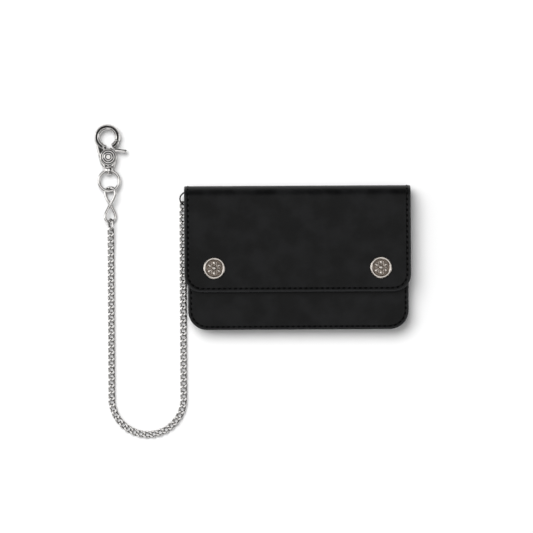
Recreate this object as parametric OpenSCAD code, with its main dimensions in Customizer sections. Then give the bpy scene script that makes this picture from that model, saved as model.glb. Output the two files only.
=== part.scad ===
// Leather chain wallet, lying face up: a snapped flap over a bill pocket and a zipped coin pocket,
// an eyelet and ring at the top left corner, a curb chain, and a swivel trigger hook on its end.
// The frame's origin is on the resting face, under the middle of the flap. +Z is up, +Y is the fold.

/* [Wallet] */
// Width of the flap and of the fold
flap_w = 155; // [154:0.5:157]
// Width of the pocket body, which shows below the flap
body_w = 151; // [149:0.5:151.5]
// How far the body sits to the right of the flap's middle
body_shift = 0.4; // [0:0.1:0.6]
// Height from the fold to the bottom edge
wallet_h = 98.6; // [96:0.2:102]
// Height of the flap from the fold to its free edge
flap_h = 72.9; // [70:0.1:75]
// Thickness of the closed wallet without its caps
stack_t = 17.6; // [17.6:0.1:18.5]
// Thickness of the shell leather
leather_t = 1.8; // [1.6:0.1:1.8]
// Radius of the flap's lower corners
flap_corner_r = 12; // [8:0.5:16]
// Radius of the body's lower corners
body_corner_r = 13.2; // [8:0.2:16]
// Width of the stacked leather wall round the pockets
wall_w = 2.6; // [2:0.2:3]

/* [Pockets] */
// Length of the coin pocket's zip
zip_len = 118; // [100:1:120]
// Distance between zip teeth
tooth_pitch = 2; // [1.6:0.1:3]
// Drop of each card slot below the one behind it
slot_step = 8; // [6:1:9]

/* [Snaps] */
// Distance of each snap from the middle
snap_x = 57; // [50:0.5:60]
// Height of the snaps on the wallet
snap_y = -7; // [-9:0.5:0]
// Diameter of the snap caps
cap_d = 15; // [12:0.5:16]

/* [Ring and chain] */
// Radius of the wallet ring at the middle of its wire
ring_r = 6.8; // [6.6:0.1:6.9]
// Tilt of the wallet ring as it lies through the eyelet
ring_tilt = 40; // [39:0.5:42]
// Distance between chain links
link_pitch = 4.5; // [4.45:0.05:4.55]
// Diameter of the chain wire
link_wire = 1.2; // [1.1:0.05:1.25]
// Length of a link at the middle of its wire
link_len = 5.95; // [5.9:0.05:6.0]
// Width of a link at the middle of its wire
link_w = 3.85; // [3.8:0.05:3.9]
// Twist of each half link
link_twist = 45; // [44:1:46]
// Chain lengths that bend as one piece
segments = 12; // [12:1:12]
// Links in each of those lengths
seg_links = 6; // [6:1:6]
// Radius of the chain's bend
bend_r = 24.7; // [24:0.1:25]

/* [Hook] */
// Height of the swivel's axis above the resting face
hook_z = 3.5; // [3.5:0.1:4]
// Turn of the hook in the resting plane
hook_turn = 2; // [0:0.5:3]
// Outer radius of the hook's eye
eye_ro = 9.1; // [8.8:0.1:9.3]
// Radius of the hook's hole
eye_ri = 4.85; // [4.6:0.05:5]
// Thickness of the hook
hook_t = 5.2; // [4.8:0.1:5.4]

/* [Hidden] */
$fn = 48;

// the wallet's levels, from the resting face up
top_y = wallet_h / 2;
fold_r = stack_t / 2;
fold_y = top_y - fold_r;
flap_z = stack_t - leather_t;
lining_t = 1;
lining_z = flap_z - lining_t;
front_z = 11.2;
joint_gap = 0.05;
body_x0 = body_shift - body_w / 2;
body_x1 = body_shift + body_w / 2;

// the lifted corner of the back, where the ring goes under it
corner_z = 2;
corner_x = -60;
corner_y = 30;
ring_wire_r = 0.5;
ring_x = -73.6;
ring_y = 40.6;
ring_z = ring_wire_r + joint_gap + ring_r * sin(ring_tilt);
corner_mid = corner_z + leather_t / 2;
ring_rise = asin((corner_mid - ring_z) / (ring_r * sin(ring_tilt)));
eyelet_x = ring_x + ring_r * cos(ring_rise);
eyelet_y = ring_y + ring_r * cos(ring_tilt) * sin(ring_rise);
eyelet_ri = 2.6;
eyelet_ro = 3;
eyelet_flange_r = 3.9;
eyelet_flange_t = 0.35;

// zip
zip_y = 22;
zip_z = 6.6;
slider_x = -40;
pull_pin_y = 27.2;
pull_pin_r = 0.5;

// the chain's route: down beside the wallet, round the bend, and up to the hook
route_x = -78.6;
route_y = 31.25;
bend_y = -96.1;
down_len = route_y - bend_y;
bend_len = PI * bend_r;
chain_z = 1.42;
rise_len = 22;
rise_h = 1.48;
chain_len = (segments * seg_links - 1) * link_pitch;

// the plain oval link that joins the chain to the wallet ring
start_link_at = [route_x, 35.75, 1.7];
start_link_roll = 30;
start_link_twist = 15;

// the chain wire's sweep
wire_rings = 16;
wire_sides = 6;
link_squareness = 0.85;

// figure-eight link
eight_x = -128.25;
eight_wire_r = 1;
eight_top = 48.7;
eight_half = 11.8;
eight_w = 3.35;
eight_h = 2.5;
eight_steepness = 0.05;
eight_pinch = 0.5;
eight_y = eight_top - eight_half;

// the wider oval link that joins the chain to the figure-eight link
end_link_w = 4.7;
end_link_roll = -50;
end_link_twist = 10;
end_link_y0 = bend_y + chain_len - (route_y - bend_y) - PI * bend_r + link_len / 2 - 1.65;
end_link_y1 = eight_y - eight_half + 1.9;
end_link_z = [2.9, 3.3];

// swivel and hook
swivel_x = -129;
swivel_y = 53.3;
swivel_r = 7;
swivel_wire_r = 1.1;
post_r = 1.25;
post_gap = 0.08;
eye_y = 29.9;
pivot_x = 0.2;
pivot_y = 16.4;
cheek_r = 5.9;
slot_t = 2.6;
rivet_r = 1.4;

// ---- small helpers ----

// a plate with square top corners and round bottom corners, from y0 to y1
module pocket_plate(x0, x1, y0, y1, r, t) {
    linear_extrude(t) pocket_outline(x0, x1, y0, y1, r);
}

module pocket_outline(x0, x1, y0, y1, r) {
    translate([x0 + r, y0 + r]) circle(r);
    translate([x1 - r, y0 + r]) circle(r);
    translate([x0 + r, y0]) square([x1 - x0 - 2 * r, y1 - y0]);
    translate([x0, y0 + r]) square([x1 - x0, y1 - y0 - r]);
}

// a quarter of the fold's roll, from one angle on, along the whole flap
module fold_quarter(from) {
    translate([-flap_w / 2, fold_y, fold_r]) rotate([90, 0, 90]) linear_extrude(flap_w)
        intersection() {
            difference() {
                circle(fold_r);
                circle(fold_r - leather_t);
            }
            rotate(from) translate([joint_gap, joint_gap]) square(fold_r);
        }
}

module tube(ro, ri, h) {
    difference() {
        cylinder(r = ro, h = h);
        translate([0, 0, -1]) cylinder(r = ri, h = h + 2);
    }
}

// ---- leather ----

module back_panel() {
    color([0.12, 0.12, 0.12]) difference() {
        union() {
            difference() {
                pocket_plate(body_x0, body_x1, -top_y, fold_y, body_corner_r, leather_t);
                translate([body_x0 - 1, corner_y, -1]) cube([corner_x - body_x0 + 1, 20, 5]);
            }
            translate([body_x0, corner_y, corner_z])
                cube([corner_x - body_x0, fold_y - corner_y + 1.5, leather_t]);
            translate([body_x0, corner_y - 1.5, 0])
                cube([corner_x - body_x0 + 1.5, 1.6, corner_z + leather_t]);
            translate([corner_x - 0.1, corner_y - 0.1, 0])
                cube([1.6, fold_y - corner_y + 0.1, corner_z + leather_t]);
        }
        translate([eyelet_x, eyelet_y, -1]) cylinder(r = eyelet_ro, h = 6);
    }
}

module spine_lower() {
    color([0.12, 0.12, 0.12]) fold_quarter(-90);
}

module spine_upper() {
    color([0.12, 0.12, 0.12]) fold_quarter(0);
}

module flap_outer() {
    color([0.12, 0.12, 0.12]) difference() {
        translate([0, 0, flap_z]) pocket_plate(-flap_w / 2, flap_w / 2, top_y - flap_h,
            fold_y - joint_gap, flap_corner_r, leather_t);
        snap_holes(flap_z);
    }
}

module flap_lining() {
    color([0.16, 0.15, 0.15]) difference() {
        translate([0, 0, lining_z]) pocket_plate(-flap_w / 2 + 0.3, flap_w / 2 - 0.3,
            top_y - flap_h + 0.3, fold_y - 2, flap_corner_r, lining_t);
        snap_holes(lining_z);
    }
}

module snap_holes(z) {
    for (side = [-1, 1]) translate([side * snap_x, snap_y, z - 1]) cylinder(r = 1.9, h = 4);
}

module front_panel() {
    color([0.12, 0.12, 0.12]) difference() {
        translate([0, 0, front_z]) pocket_plate(body_x0, body_x1, -top_y, 28,
            body_corner_r, leather_t);
        snap_holes(front_z);
    }
}

// the stack of pocket edges along one side of the body
module side_wall(x) {
    color([0.1, 0.1, 0.1]) translate([x, -top_y + body_corner_r, leather_t])
        cube([wall_w, 28 + top_y - body_corner_r, front_z - leather_t]);
}

module wall_left() {
    side_wall(body_x0);
}

module wall_right() {
    side_wall(body_x1 - wall_w);
}

module wall_bottom() {
    color([0.1, 0.1, 0.1]) translate([0, 0, leather_t]) linear_extrude(front_z - leather_t)
        intersection() {
            difference() {
                pocket_outline(body_x0, body_x1, -top_y, 0, body_corner_r);
                pocket_outline(body_x0 + wall_w, body_x1 - wall_w, -top_y + wall_w, 1,
                    body_corner_r - wall_w);
            }
            translate([body_x0 - 1, -top_y - 1]) square([body_w + 2, body_corner_r + 1]);
        }
}

// an inner layer between the walls, with its upper left corner cut back from the ring
module layer(z, t, upper, inset) {
    difference() {
        translate([0, 0, z]) pocket_plate(body_x0 + wall_w + inset, body_x1 - wall_w - inset,
            -top_y + wall_w + inset, upper, body_corner_r - wall_w - inset, t);
        translate([body_x0, corner_y - 2, z - 1]) cube([corner_x - body_x0 + 3, 20, t + 2]);
    }
}

module bill_divider() {
    color([0.2, 0.19, 0.19]) layer(2.4, 1.2, 34, 0.2);
}

module coin_pocket_back() {
    color([0.22, 0.2, 0.2]) layer(4.1, 0.9, zip_y, 0.5);
}

module coin_pocket_front() {
    color([0.22, 0.2, 0.2]) layer(8.2, 0.9, zip_y, 0.5);
}

module card_slot(step) {
    color([0.18, 0.17, 0.17]) translate([-48, -42, 9.15 + 0.65 * step])
        cube([96, 60 - slot_step * step, 0.6]);
}

module card_slot_1() {
    card_slot(0);
}

module card_slot_2() {
    card_slot(1);
}

module card_slot_3() {
    card_slot(2);
}

// ---- zip ----

module zip_tapes() {
    color([0.08, 0.08, 0.08]) for (side = [-1, 1]) translate([-zip_len / 2, 0, zip_z]) {
        translate([0, zip_y - 4, side < 0 ? -1.6 : 1.1]) cube([zip_len, 5.6, 0.5]);
        translate([0, zip_y + 1.2, side < 0 ? -1.6 : 1.05]) cube([zip_len, 0.4, 0.55]);
    }
}

module zip_teeth() {
    color([0.75, 0.73, 0.7]) for (side = [-1, 1])
        for (x = [-zip_len / 2 + 1 : tooth_pitch : zip_len / 2 - 1])
            translate([x + (side > 0 ? tooth_pitch / 2 : 0) - 0.5, zip_y + 0.6,
                zip_z + (side < 0 ? -1.05 : 0.5)]) cube([1, 2.2, 0.55]);
}

module zip_slider() {
    color([0.78, 0.77, 0.75]) translate([slider_x, 0, zip_z]) {
        translate([-4.5, zip_y - 0.6, -1]) cube([9, 0.9, 2]);
        translate([-4.5, zip_y + 3.1, -1.9]) cube([9, 0.9, 3.8]);
        translate([-1.5, zip_y - 0.1, -0.35]) cube([3, 3.5, 0.7]);
        for (side = [-1, 1]) translate([-1.2, zip_y + 3.6, side * 1.6 - 0.3]) cube([2.4, 2.6, 0.6]);
        translate([0, pull_pin_y, -1.8]) cylinder(r = pull_pin_r, h = 3.6);
    }
}

module zip_pull() {
    color([0.78, 0.77, 0.75]) translate([slider_x, pull_pin_y, zip_z - 1.1]) difference() {
        union() {
            cylinder(r = 1.05, h = 2.2);
            translate([0, -0.45, 0]) cube([13, 0.9, 2.2]);
        }
        translate([0, 0, -1]) cylinder(r = pull_pin_r + 0.06, h = 5);
    }
}

// ---- snaps ----

// domed cap with a rolled rim, a sunk field and a plain round boss; its shank goes down
// through the flap to the socket
module snap_cap(side) {
    color([0.72, 0.7, 0.66]) translate([side * snap_x, snap_y, stack_t]) {
        rotate_extrude() polygon([[0, 0], [cap_d / 2 - 0.3, 0], [cap_d / 2, 0.5],
            [cap_d / 2 - 0.4, 1.2], [cap_d / 2 - 1.3, 1.5], [cap_d / 2 - 2, 1.1], [3.4, 1.25],
            [3, 1.7], [1.5, 1.9], [0, 1.95]]);
        translate([0, 0, -3]) cylinder(r = 1.7, h = 3.1);
    }
}

module snap_cap_left() {
    snap_cap(-1);
}

module snap_cap_right() {
    snap_cap(1);
}

module snap_socket(side) {
    color([0.7, 0.69, 0.66]) translate([side * snap_x, snap_y, lining_z - 1.2]) difference() {
        cylinder(r = 5.2, h = 1.2);
        translate([0, 0, -0.5]) cylinder(r = 2.5, h = 1.3);
        cylinder(r = 1.75, h = 2);
    }
}

module snap_socket_left() {
    snap_socket(-1);
}

module snap_socket_right() {
    snap_socket(1);
}

module snap_stud(side) {
    color([0.7, 0.69, 0.66]) translate([side * snap_x, snap_y, front_z + leather_t])
        difference() {
            union() {
                cylinder(r = 4.6, h = 0.35);
                cylinder(r = 2.1, h = 1.2);
            }
            translate([0, 0, -1]) cylinder(r = 1.65, h = 1.7);
        }
}

module snap_stud_left() {
    snap_stud(-1);
}

module snap_stud_right() {
    snap_stud(1);
}

module snap_post(side) {
    color([0.7, 0.69, 0.66]) translate([side * snap_x, snap_y, front_z]) {
        translate([0, 0, -0.7]) cylinder(r = 4, h = 0.7);
        translate([0, 0, -0.2]) cylinder(r = 1.6, h = leather_t + 0.8);
    }
}

module snap_post_left() {
    snap_post(-1);
}

module snap_post_right() {
    snap_post(1);
}

// ---- ring and chain ----

module eyelet() {
    color([0.6, 0.6, 0.6]) translate([eyelet_x, eyelet_y, corner_z]) {
        tube(eyelet_ro, eyelet_ri, leather_t + eyelet_flange_t);
        translate([0, 0, leather_t]) tube(eyelet_flange_r, eyelet_ro - 0.1, eyelet_flange_t);
    }
}

module wallet_ring() {
    color([0.35, 0.35, 0.35]) translate([ring_x, ring_y, ring_z]) rotate([ring_tilt, 0, 0])
        rotate_extrude() translate([ring_r, 0]) circle(ring_wire_r, $fn = 24);
}

// how far along 0 to 1 a smooth rise has come
function smooth_rise(u) = let (c = min(1, max(0, u))) c * c * (3 - 2 * c);

// heading of the chain, s along its route
function route_heading(s) = s < down_len ? -90
    : s < down_len + bend_len ? -90 - (s - down_len) / bend_r * 180 / PI
    : -270;

// place of the chain, s along its route
function route_point(s) = let (
    a = (s - down_len) / bend_r * 180 / PI,
    z = chain_z + rise_h * smooth_rise((s - chain_len + rise_len) / rise_len))
    s < down_len ? [route_x, route_y - s, z]
    : s < down_len + bend_len
        ? [route_x - bend_r + bend_r * cos(a), bend_y - bend_r * sin(a), z]
        : [route_x - 2 * bend_r, bend_y + s - down_len - bend_len, z];

// the slope of a link is the slope between the points half a pitch before and after it
function route_slope(s) = asin((route_point(s + link_pitch / 2)[2]
    - route_point(s - link_pitch / 2)[2]) / link_pitch);

function signed_power(v, p) = sign(v) * pow(abs(v), p);

// middle of a link's wire: a squared oval that is twisted along its length
function link_point(t, len, w, twist) = let (
    x = len / 2 * signed_power(cos(t), link_squareness),
    y = w / 2 * signed_power(sin(t), link_squareness),
    a = twist * 2 * x / len)
    [x, y * cos(a), y * sin(a)];

function unit(v) = v / norm(v);

// the faces of a closed tube of so many rings with so many sides
function loop_faces(rings, sides) = [for (i = [0 : rings - 1]) for (j = [0 : sides - 1])
    let (a = i * sides, b = (i + 1) % rings * sides, k = (j + 1) % sides)
    each [[a + j, a + k, b + k], [a + j, b + k, b + j]]];

// the rings of points round a closed path: each lies across the path and starts on its outer side
function loop_points(path, r, sides) = let (n = len(path)) [for (i = [0 : n - 1])
    let (
        along = unit(path[(i + 1) % n] - path[(i + n - 1) % n]),
        outward = path[i] - [path[i][0] / 2, path[i][1] / 4, 0],
        out = unit(outward - (outward * along) * along),
        up = cross(along, out))
    for (j = [0 : sides - 1])
        path[i] + r * (cos(360 * j / sides) * out + sin(360 * j / sides) * up)];

module wire_loop(path, r, sides) {
    polyhedron(points = loop_points(path, r, sides), faces = loop_faces(len(path), sides),
        convexity = 4);
}

module oval_link(len, w, twist) {
    wire_loop([for (i = [0 : wire_rings - 1]) link_point(360 * i / wire_rings, len, w, twist)],
        link_wire / 2, wire_sides);
}

module link_at(s) {
    translate(route_point(s)) rotate([0, -route_slope(s), route_heading(s)])
        oval_link(link_len, link_w, link_twist);
}

module chain_segment(n) {
    color([0.8, 0.79, 0.77]) for (i = [0 : seg_links - 1])
        link_at(((n - 1) * seg_links + i) * link_pitch);
}

module start_link() {
    color([0.8, 0.79, 0.77]) translate(start_link_at) rotate([0, 0, -90])
        rotate([start_link_roll, 0, 0]) oval_link(link_len, link_w, start_link_twist);
}

module end_link() {
    len = end_link_y1 - end_link_y0;
    slope = atan((end_link_z[1] - end_link_z[0]) / len);
    color([0.8, 0.79, 0.77]) translate([eight_x + 0.15, (end_link_y0 + end_link_y1) / 2,
        (end_link_z[0] + end_link_z[1]) / 2]) rotate([0, -slope, 90])
        rotate([end_link_roll, 0, 0]) oval_link(len, end_link_w, end_link_twist);
}

// middle of the figure-eight's wire: its two legs pass over and under each other half way
function eight_point(t) = let (s = sin(t))
    [eight_w * sin(2 * t), eight_half * cos(t),
        eight_h * s / sqrt(s * s + eight_steepness) * (1 - eight_pinch * pow(s, 8))];

module figure_eight_link() {
    color([0.82, 0.81, 0.8]) translate([eight_x, eight_y, hook_z])
        wire_loop([for (i = [0 : 39]) eight_point(360 * i / 40)], eight_wire_r, 10);
}

// ---- swivel and hook ----

module in_hook_frame() {
    translate([swivel_x, swivel_y, hook_z]) rotate([0, 0, hook_turn]) children();
}

module swivel_ring() {
    color([0.82, 0.81, 0.8]) in_hook_frame() difference() {
        union() {
            rotate_extrude() translate([swivel_r, 0]) circle(swivel_wire_r, $fn = 24);
            translate([0, 6.2, 0]) rotate([-90, 0, 0]) cylinder(r = 2.6, h = 2.7);
        }
        translate([0, 3, 0]) rotate([-90, 0, 0]) cylinder(r = post_r + post_gap, h = 8);
    }
}

module swivel_post() {
    color([0.82, 0.81, 0.8]) in_hook_frame() {
        translate([0, 3.9, 0]) rotate([-90, 0, 0]) cylinder(r = 2, h = 1.5);
        translate([0, 5.3, 0]) rotate([-90, 0, 0]) cylinder(r = post_r, h = 6.6);
    }
}

module hook_outline() {
    translate([0, eye_y]) circle(eye_ro);
    translate([pivot_x, pivot_y]) circle(cheek_r);
    polygon([[-9, 28.5], [-7.6, 21], [-6.3, 14.5], [-4.7, 9.2], [4.6, 9.2], [5.4, 13.4],
        [pivot_x, pivot_y], [1, 24], [0, eye_y]]);
}

// the mouth between the hook's nose and its cheeks
module mouth_outline() {
    translate([0, eye_y]) polygon([[0, 0], 20 * [cos(-20), sin(-20)], [20, -14], [1.4, -14],
        [1.4, -5]]);
}

module hook_body() {
    color([0.82, 0.81, 0.8]) in_hook_frame() difference() {
        translate([0, 0, -hook_t / 2]) linear_extrude(hook_t) difference() {
            hook_outline();
            difference() {
                mouth_outline();
                translate([pivot_x, pivot_y]) circle(cheek_r);
            }
        }
        translate([0, eye_y, -5]) cylinder(r = eye_ri, h = 10);
        translate([pivot_x, pivot_y, -slot_t / 2]) linear_extrude(slot_t) {
            circle(cheek_r + 0.4);
            translate([0, -4]) square([12, 16]);
        }
        translate([pivot_x, pivot_y, -5]) cylinder(r = rivet_r, h = 10);
        translate([0, 9, 0]) rotate([-90, 0, 0]) cylinder(r = post_r, h = 2.95);
    }
}

// the gate's outline outside the cheeks: a stretch of the eye, and the thumb lever
module gate_outline() {
    difference() {
        union() {
            intersection() {
                translate([0, eye_y]) difference() {
                    circle(eye_ro - 0.2);
                    circle(eye_ri + 0.1);
                }
                translate([0, eye_y]) polygon([[0, 0], 20 * [cos(-23), sin(-23)], [20, -14],
                    [1.9, -14], [1.9, -5]]);
            }
            translate([5.2, 18.9]) square([7.8, 2.5]);
        }
        translate([pivot_x, pivot_y]) circle(cheek_r + 0.15);
    }
}

module hook_gate() {
    arm_t = slot_t - 0.2;
    color([0.82, 0.81, 0.8]) in_hook_frame() difference() {
        union() {
            translate([0, 0, -2.2]) linear_extrude(4.4) gate_outline();
            translate([pivot_x, pivot_y, -0.2]) cylinder(r = 3.2, h = 1.4);
            translate([pivot_x, pivot_y, -0.2]) linear_extrude(arm_t / 2 + 0.2)
                polygon([[0, 3.1], [1.9, 7], [6.3, 4], [3, 0.5]]);
        }
        translate([pivot_x, pivot_y, -5]) cylinder(r = rivet_r + 0.06, h = 10);
    }
}

module gate_spring() {
    color([0.6, 0.6, 0.6]) in_hook_frame() translate([pivot_x, pivot_y, 0])
        for (z = [-1.02, -0.56]) translate([0, 0, z]) rotate_extrude() translate([2.3, 0])
            circle(0.2, $fn = 16);
}

module pivot_rivet() {
    color([0.8, 0.79, 0.78]) in_hook_frame() translate([pivot_x, pivot_y, 0]) {
        translate([0, 0, -hook_t / 2 - 0.1]) cylinder(r = rivet_r, h = hook_t + 0.2);
        for (side = [-1, 1]) translate([0, 0, side * (hook_t / 2 + 0.3) - 0.3])
            cylinder(r = 3.3, h = 0.6);
    }
}

back_panel();
spine_lower();
spine_upper();
flap_outer();
flap_lining();
front_panel();
wall_left();
wall_right();
wall_bottom();
bill_divider();
coin_pocket_back();
coin_pocket_front();
card_slot_1();
card_slot_2();
card_slot_3();
zip_tapes();
zip_teeth();
zip_slider();
zip_pull();
snap_cap_left();
snap_cap_right();
snap_socket_left();
snap_socket_right();
snap_stud_left();
snap_stud_right();
snap_post_left();
snap_post_right();
eyelet();
wallet_ring();
start_link();
chain_segment(1);  // chain_01
chain_segment(2);  // chain_02
chain_segment(3);  // chain_03
chain_segment(4);  // chain_04
chain_segment(5);  // chain_05
chain_segment(6);  // chain_06
chain_segment(7);  // chain_07
chain_segment(8);  // chain_08
chain_segment(9);  // chain_09
chain_segment(10);  // chain_10
chain_segment(11);  // chain_11
chain_segment(12);  // chain_12
end_link();
figure_eight_link();
swivel_ring();
swivel_post();
hook_body();
hook_gate();
gate_spring();
pivot_rivet();
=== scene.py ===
"""Looks of a leather chain wallet: shell, pockets, snaps, zip, curb chain and swivel hook.

Everything is worked out in millimetres, in the frame's own axes, and put into meshes in metres.
"""
import logging
import math
from dataclasses import dataclass, field
from enum import Enum
from typing import ClassVar

import bmesh
import bpy
import numpy as np
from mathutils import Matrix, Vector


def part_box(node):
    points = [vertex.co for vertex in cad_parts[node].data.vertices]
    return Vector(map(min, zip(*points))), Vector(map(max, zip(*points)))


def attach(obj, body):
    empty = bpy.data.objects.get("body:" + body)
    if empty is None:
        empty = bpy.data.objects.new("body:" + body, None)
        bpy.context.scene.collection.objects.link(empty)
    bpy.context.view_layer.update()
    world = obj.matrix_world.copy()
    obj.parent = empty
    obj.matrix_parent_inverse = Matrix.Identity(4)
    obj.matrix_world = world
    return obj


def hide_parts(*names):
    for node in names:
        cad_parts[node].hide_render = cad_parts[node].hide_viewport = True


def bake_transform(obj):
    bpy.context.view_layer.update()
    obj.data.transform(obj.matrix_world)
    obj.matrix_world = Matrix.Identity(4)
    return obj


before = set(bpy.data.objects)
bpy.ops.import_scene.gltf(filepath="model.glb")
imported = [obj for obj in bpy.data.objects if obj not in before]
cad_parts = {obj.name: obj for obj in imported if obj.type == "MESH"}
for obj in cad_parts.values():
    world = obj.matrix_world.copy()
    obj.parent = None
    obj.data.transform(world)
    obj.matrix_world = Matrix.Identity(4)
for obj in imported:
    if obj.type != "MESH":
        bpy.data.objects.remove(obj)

Array = np.ndarray
MM = 0.001
PER_METRE = 1000.0
WELD = 2e-6
LOG = logging.getLogger("wallet")
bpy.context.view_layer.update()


class Slot(Enum):
    """The record's material slots."""

    SHELL = "shell_leather"
    LINING = "lining_leather"
    CLOTH = "zip_cloth"
    ZIP = "zip_metal"
    SNAP = "snap_metal"
    RING = "ring_metal"
    CHAIN = "chain_metal"
    HOOK = "hook_metal"


class Side(Enum):
    """Left or right, with the sign of x."""

    LEFT = -1
    RIGHT = 1


# ---- shapes ---------------------------------------------------------------------------------


@dataclass
class Surface:
    """A mesh being made: points in millimetres, faces, and values at the points.

    Attributes:
        points: Points, one row each.
        faces: Faces as lists of point numbers, turned outwards.
        uv: Flat place of each point in its pattern, in millimetres.
        masks: Named values of each point, such as the distance to the outline.
    """

    points: Array
    faces: list[list[int]]
    uv: Array | None = None
    masks: dict[str, Array] = field(default_factory=dict)


def smooth_rise(value: Array | float, low: float, high: float) -> Array:
    """Rises smoothly from 0 at low to 1 at high: 3c squared less 2c cubed.

    Args:
        value: Where it is read.
        low: Where it is 0.
        high: Where it is 1; it may be below low.

    Returns:
        The rise, from 0 to 1.
    """
    c = np.clip((np.asarray(value, float) - low) / (high - low), 0, 1)
    return c * c * (3 - 2 * c)


def bump_at(value: Array, middle: float, reach: float) -> Array:
    """A bell round a middle: e to the minus square of the distance over its reach."""
    return np.exp(-(((value - middle) / reach) ** 2))


def unit(vectors: Array) -> Array:
    """The vectors, each made one long."""
    return vectors / np.linalg.norm(vectors, axis=-1, keepdims=True)


def joined(parts: list[Surface]) -> Surface:
    """Puts several surfaces into one.

    Args:
        parts: The surfaces; their masks have the same names.

    Returns:
        One surface with all their points and faces.
    """
    starts = np.cumsum([0] + [len(p.points) for p in parts])
    faces = [[i + int(start) for i in f] for p, start in zip(parts, starts) for f in p.faces]
    uv = None if parts[0].uv is None else np.vstack([p.uv for p in parts])
    masks = {k: np.concatenate([p.masks[k] for p in parts]) for k in parts[0].masks}
    return Surface(np.vstack([p.points for p in parts]), faces, uv, masks)


def turned(points: Array, axis: str, degrees: float) -> Array:
    """Turns points about one axis through the origin.

    Args:
        points: Points, with x, y and z last.
        axis: "X", "Y" or "Z".
        degrees: The turn, right-handed.

    Returns:
        The turned points.
    """
    a = math.radians(degrees)
    i, j = {"X": (1, 2), "Y": (2, 0), "Z": (0, 1)}[axis]
    out = np.array(points, float)
    out[..., i] = points[..., i] * math.cos(a) - points[..., j] * math.sin(a)
    out[..., j] = points[..., i] * math.sin(a) + points[..., j] * math.cos(a)
    return out


def grid_faces(rings: int, sides: int, closed: bool, start: int = 0) -> list[list[int]]:
    """Faces between rings of points, each ring closed on itself.

    Args:
        rings: Number of rings.
        sides: Points in a ring.
        closed: Whether the last ring joins the first.
        start: Number of the first point.

    Returns:
        Four-sided faces, and a cap at both ends of an open row of rings.
    """
    i = np.arange(rings if closed else rings - 1)[:, None]
    j = np.arange(sides)[None, :]
    k = (j + 1) % sides
    n = (i + 1) % rings
    quads = np.stack(np.broadcast_arrays(i * sides + j, i * sides + k, n * sides + k, n * sides + j), -1)
    faces = (quads.reshape(-1, 4) + start).tolist()
    if not closed:
        last = start + (rings - 1) * sides
        faces.append(list(range(start + sides - 1, start - 1, -1)))
        faces.append(list(range(last, last + sides)))
    return faces


def swept(path: Array, across: Array, section: Array, closed: bool) -> Surface:
    """Carries a section along a path: point = path + across * section x + up * section y.

    Args:
        path: Middle points, one row each.
        across: The section's x direction at each point; it is made square to the path.
        section: Section points, anticlockwise, either one list or one list for each path point.
        closed: Whether the path joins up.

    Returns:
        A tube whose uv is the way along and the way round.
    """
    if closed:
        along = unit(np.roll(path, -1, 0) - np.roll(path, 1, 0))
    else:
        along = unit(np.gradient(path, axis=0))
    side = unit(across - (across * along).sum(-1, keepdims=True) * along)
    up = np.cross(along, side)
    section = np.broadcast_to(section, (len(path),) + section.shape[-2:])
    points = path[:, None] + side[:, None] * section[..., :1] + up[:, None] * section[..., 1:]
    run = np.concatenate([[0], np.cumsum(np.linalg.norm(np.diff(path, axis=0), axis=1))])
    turn = np.linspace(0, 1, section.shape[1], endpoint=False)
    uv = np.stack(np.broadcast_arrays(run[:, None], turn[None, :]), -1).reshape(-1, 2)
    return Surface(points.reshape(-1, 3), grid_faces(len(path), section.shape[1], closed), uv)


def oval_section(
    half_x: float, half_y: float, sides: int, power: float = 2.0,
    dish: tuple[float, float, float] = (0.0, 0.0, 1.0),
) -> Array:
    """A superellipse: x and y are the half sizes times cos and sin to the power 2 / power.

    Args:
        half_x: Half its width.
        half_y: Half its height.
        sides: Number of points.
        power: 2 for an ellipse, more for a squarer one.
        dish: A bell-shaped hollow in both faces: its depth as a share of the height, and its
            middle and reach as shares of the half width.

    Returns:
        The section, anticlockwise.
    """
    a = np.linspace(0, 2 * np.pi, sides, endpoint=False)
    c, s = np.cos(a), np.sin(a)
    e = 2 / power
    x = np.sign(c) * abs(c) ** e
    y = np.sign(s) * abs(s) ** e * (1 - dish[0] * bump_at(x, dish[1], dish[2]))
    return np.stack([half_x * x, half_y * y], 1)


def wire_loop(path: Array, radius: float, sides: int) -> Surface:
    """A closed tube whose section's first point lies on the outer side of its path."""
    outward = path - path * [0.5, 0.25, 0]
    return swept(path, outward, oval_section(radius, radius, sides), True)


def underside(made: Surface, path: Array, radius: float) -> dict[str, Array]:
    """A "hollow" value that is 1 low on a wire, from its height over its path in radii; the finish paints it
    dark as shade.

    Args:
        made: The wire, as many points for each point of the path.
        path: Its middle points.
        radius: Its radius.

    Returns:
        The mask by its name.
    """
    level = np.repeat(path[:, 2], len(made.points) // len(path))
    return {"hollow": smooth_rise((made.points[:, 2] - level) / radius, 0.66, 0.15)}


def revolved(profile: list[tuple[float, float]], steps: int, crowned: int = 1) -> Surface:
    """Turns a profile of (radius, height) pairs round the z axis.

    Args:
        profile: The profile, upwards on its outer side; ends at radius 0 close it.
        steps: Points round.
        crowned: How many times each bend of the profile is cut to round it.

    Returns:
        The turned surface; points at radius 0 are welded when it is finished.
    """
    line = np.array(profile, float)
    for _ in range(crowned):
        inner = np.stack([0.75 * line[:-1] + 0.25 * line[1:], 0.25 * line[:-1] + 0.75 * line[1:]], 1)
        line = np.vstack([line[:1], inner.reshape(-1, 2), line[-1:]])
    a = np.linspace(0, 2 * np.pi, steps, endpoint=False)
    points = np.stack(np.broadcast_arrays(
        line[:, :1] * np.cos(a), line[:, :1] * np.sin(a), line[:, 1:]), -1)
    return Surface(points.reshape(-1, 3), grid_faces(len(line), steps, False)[:-2])


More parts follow.
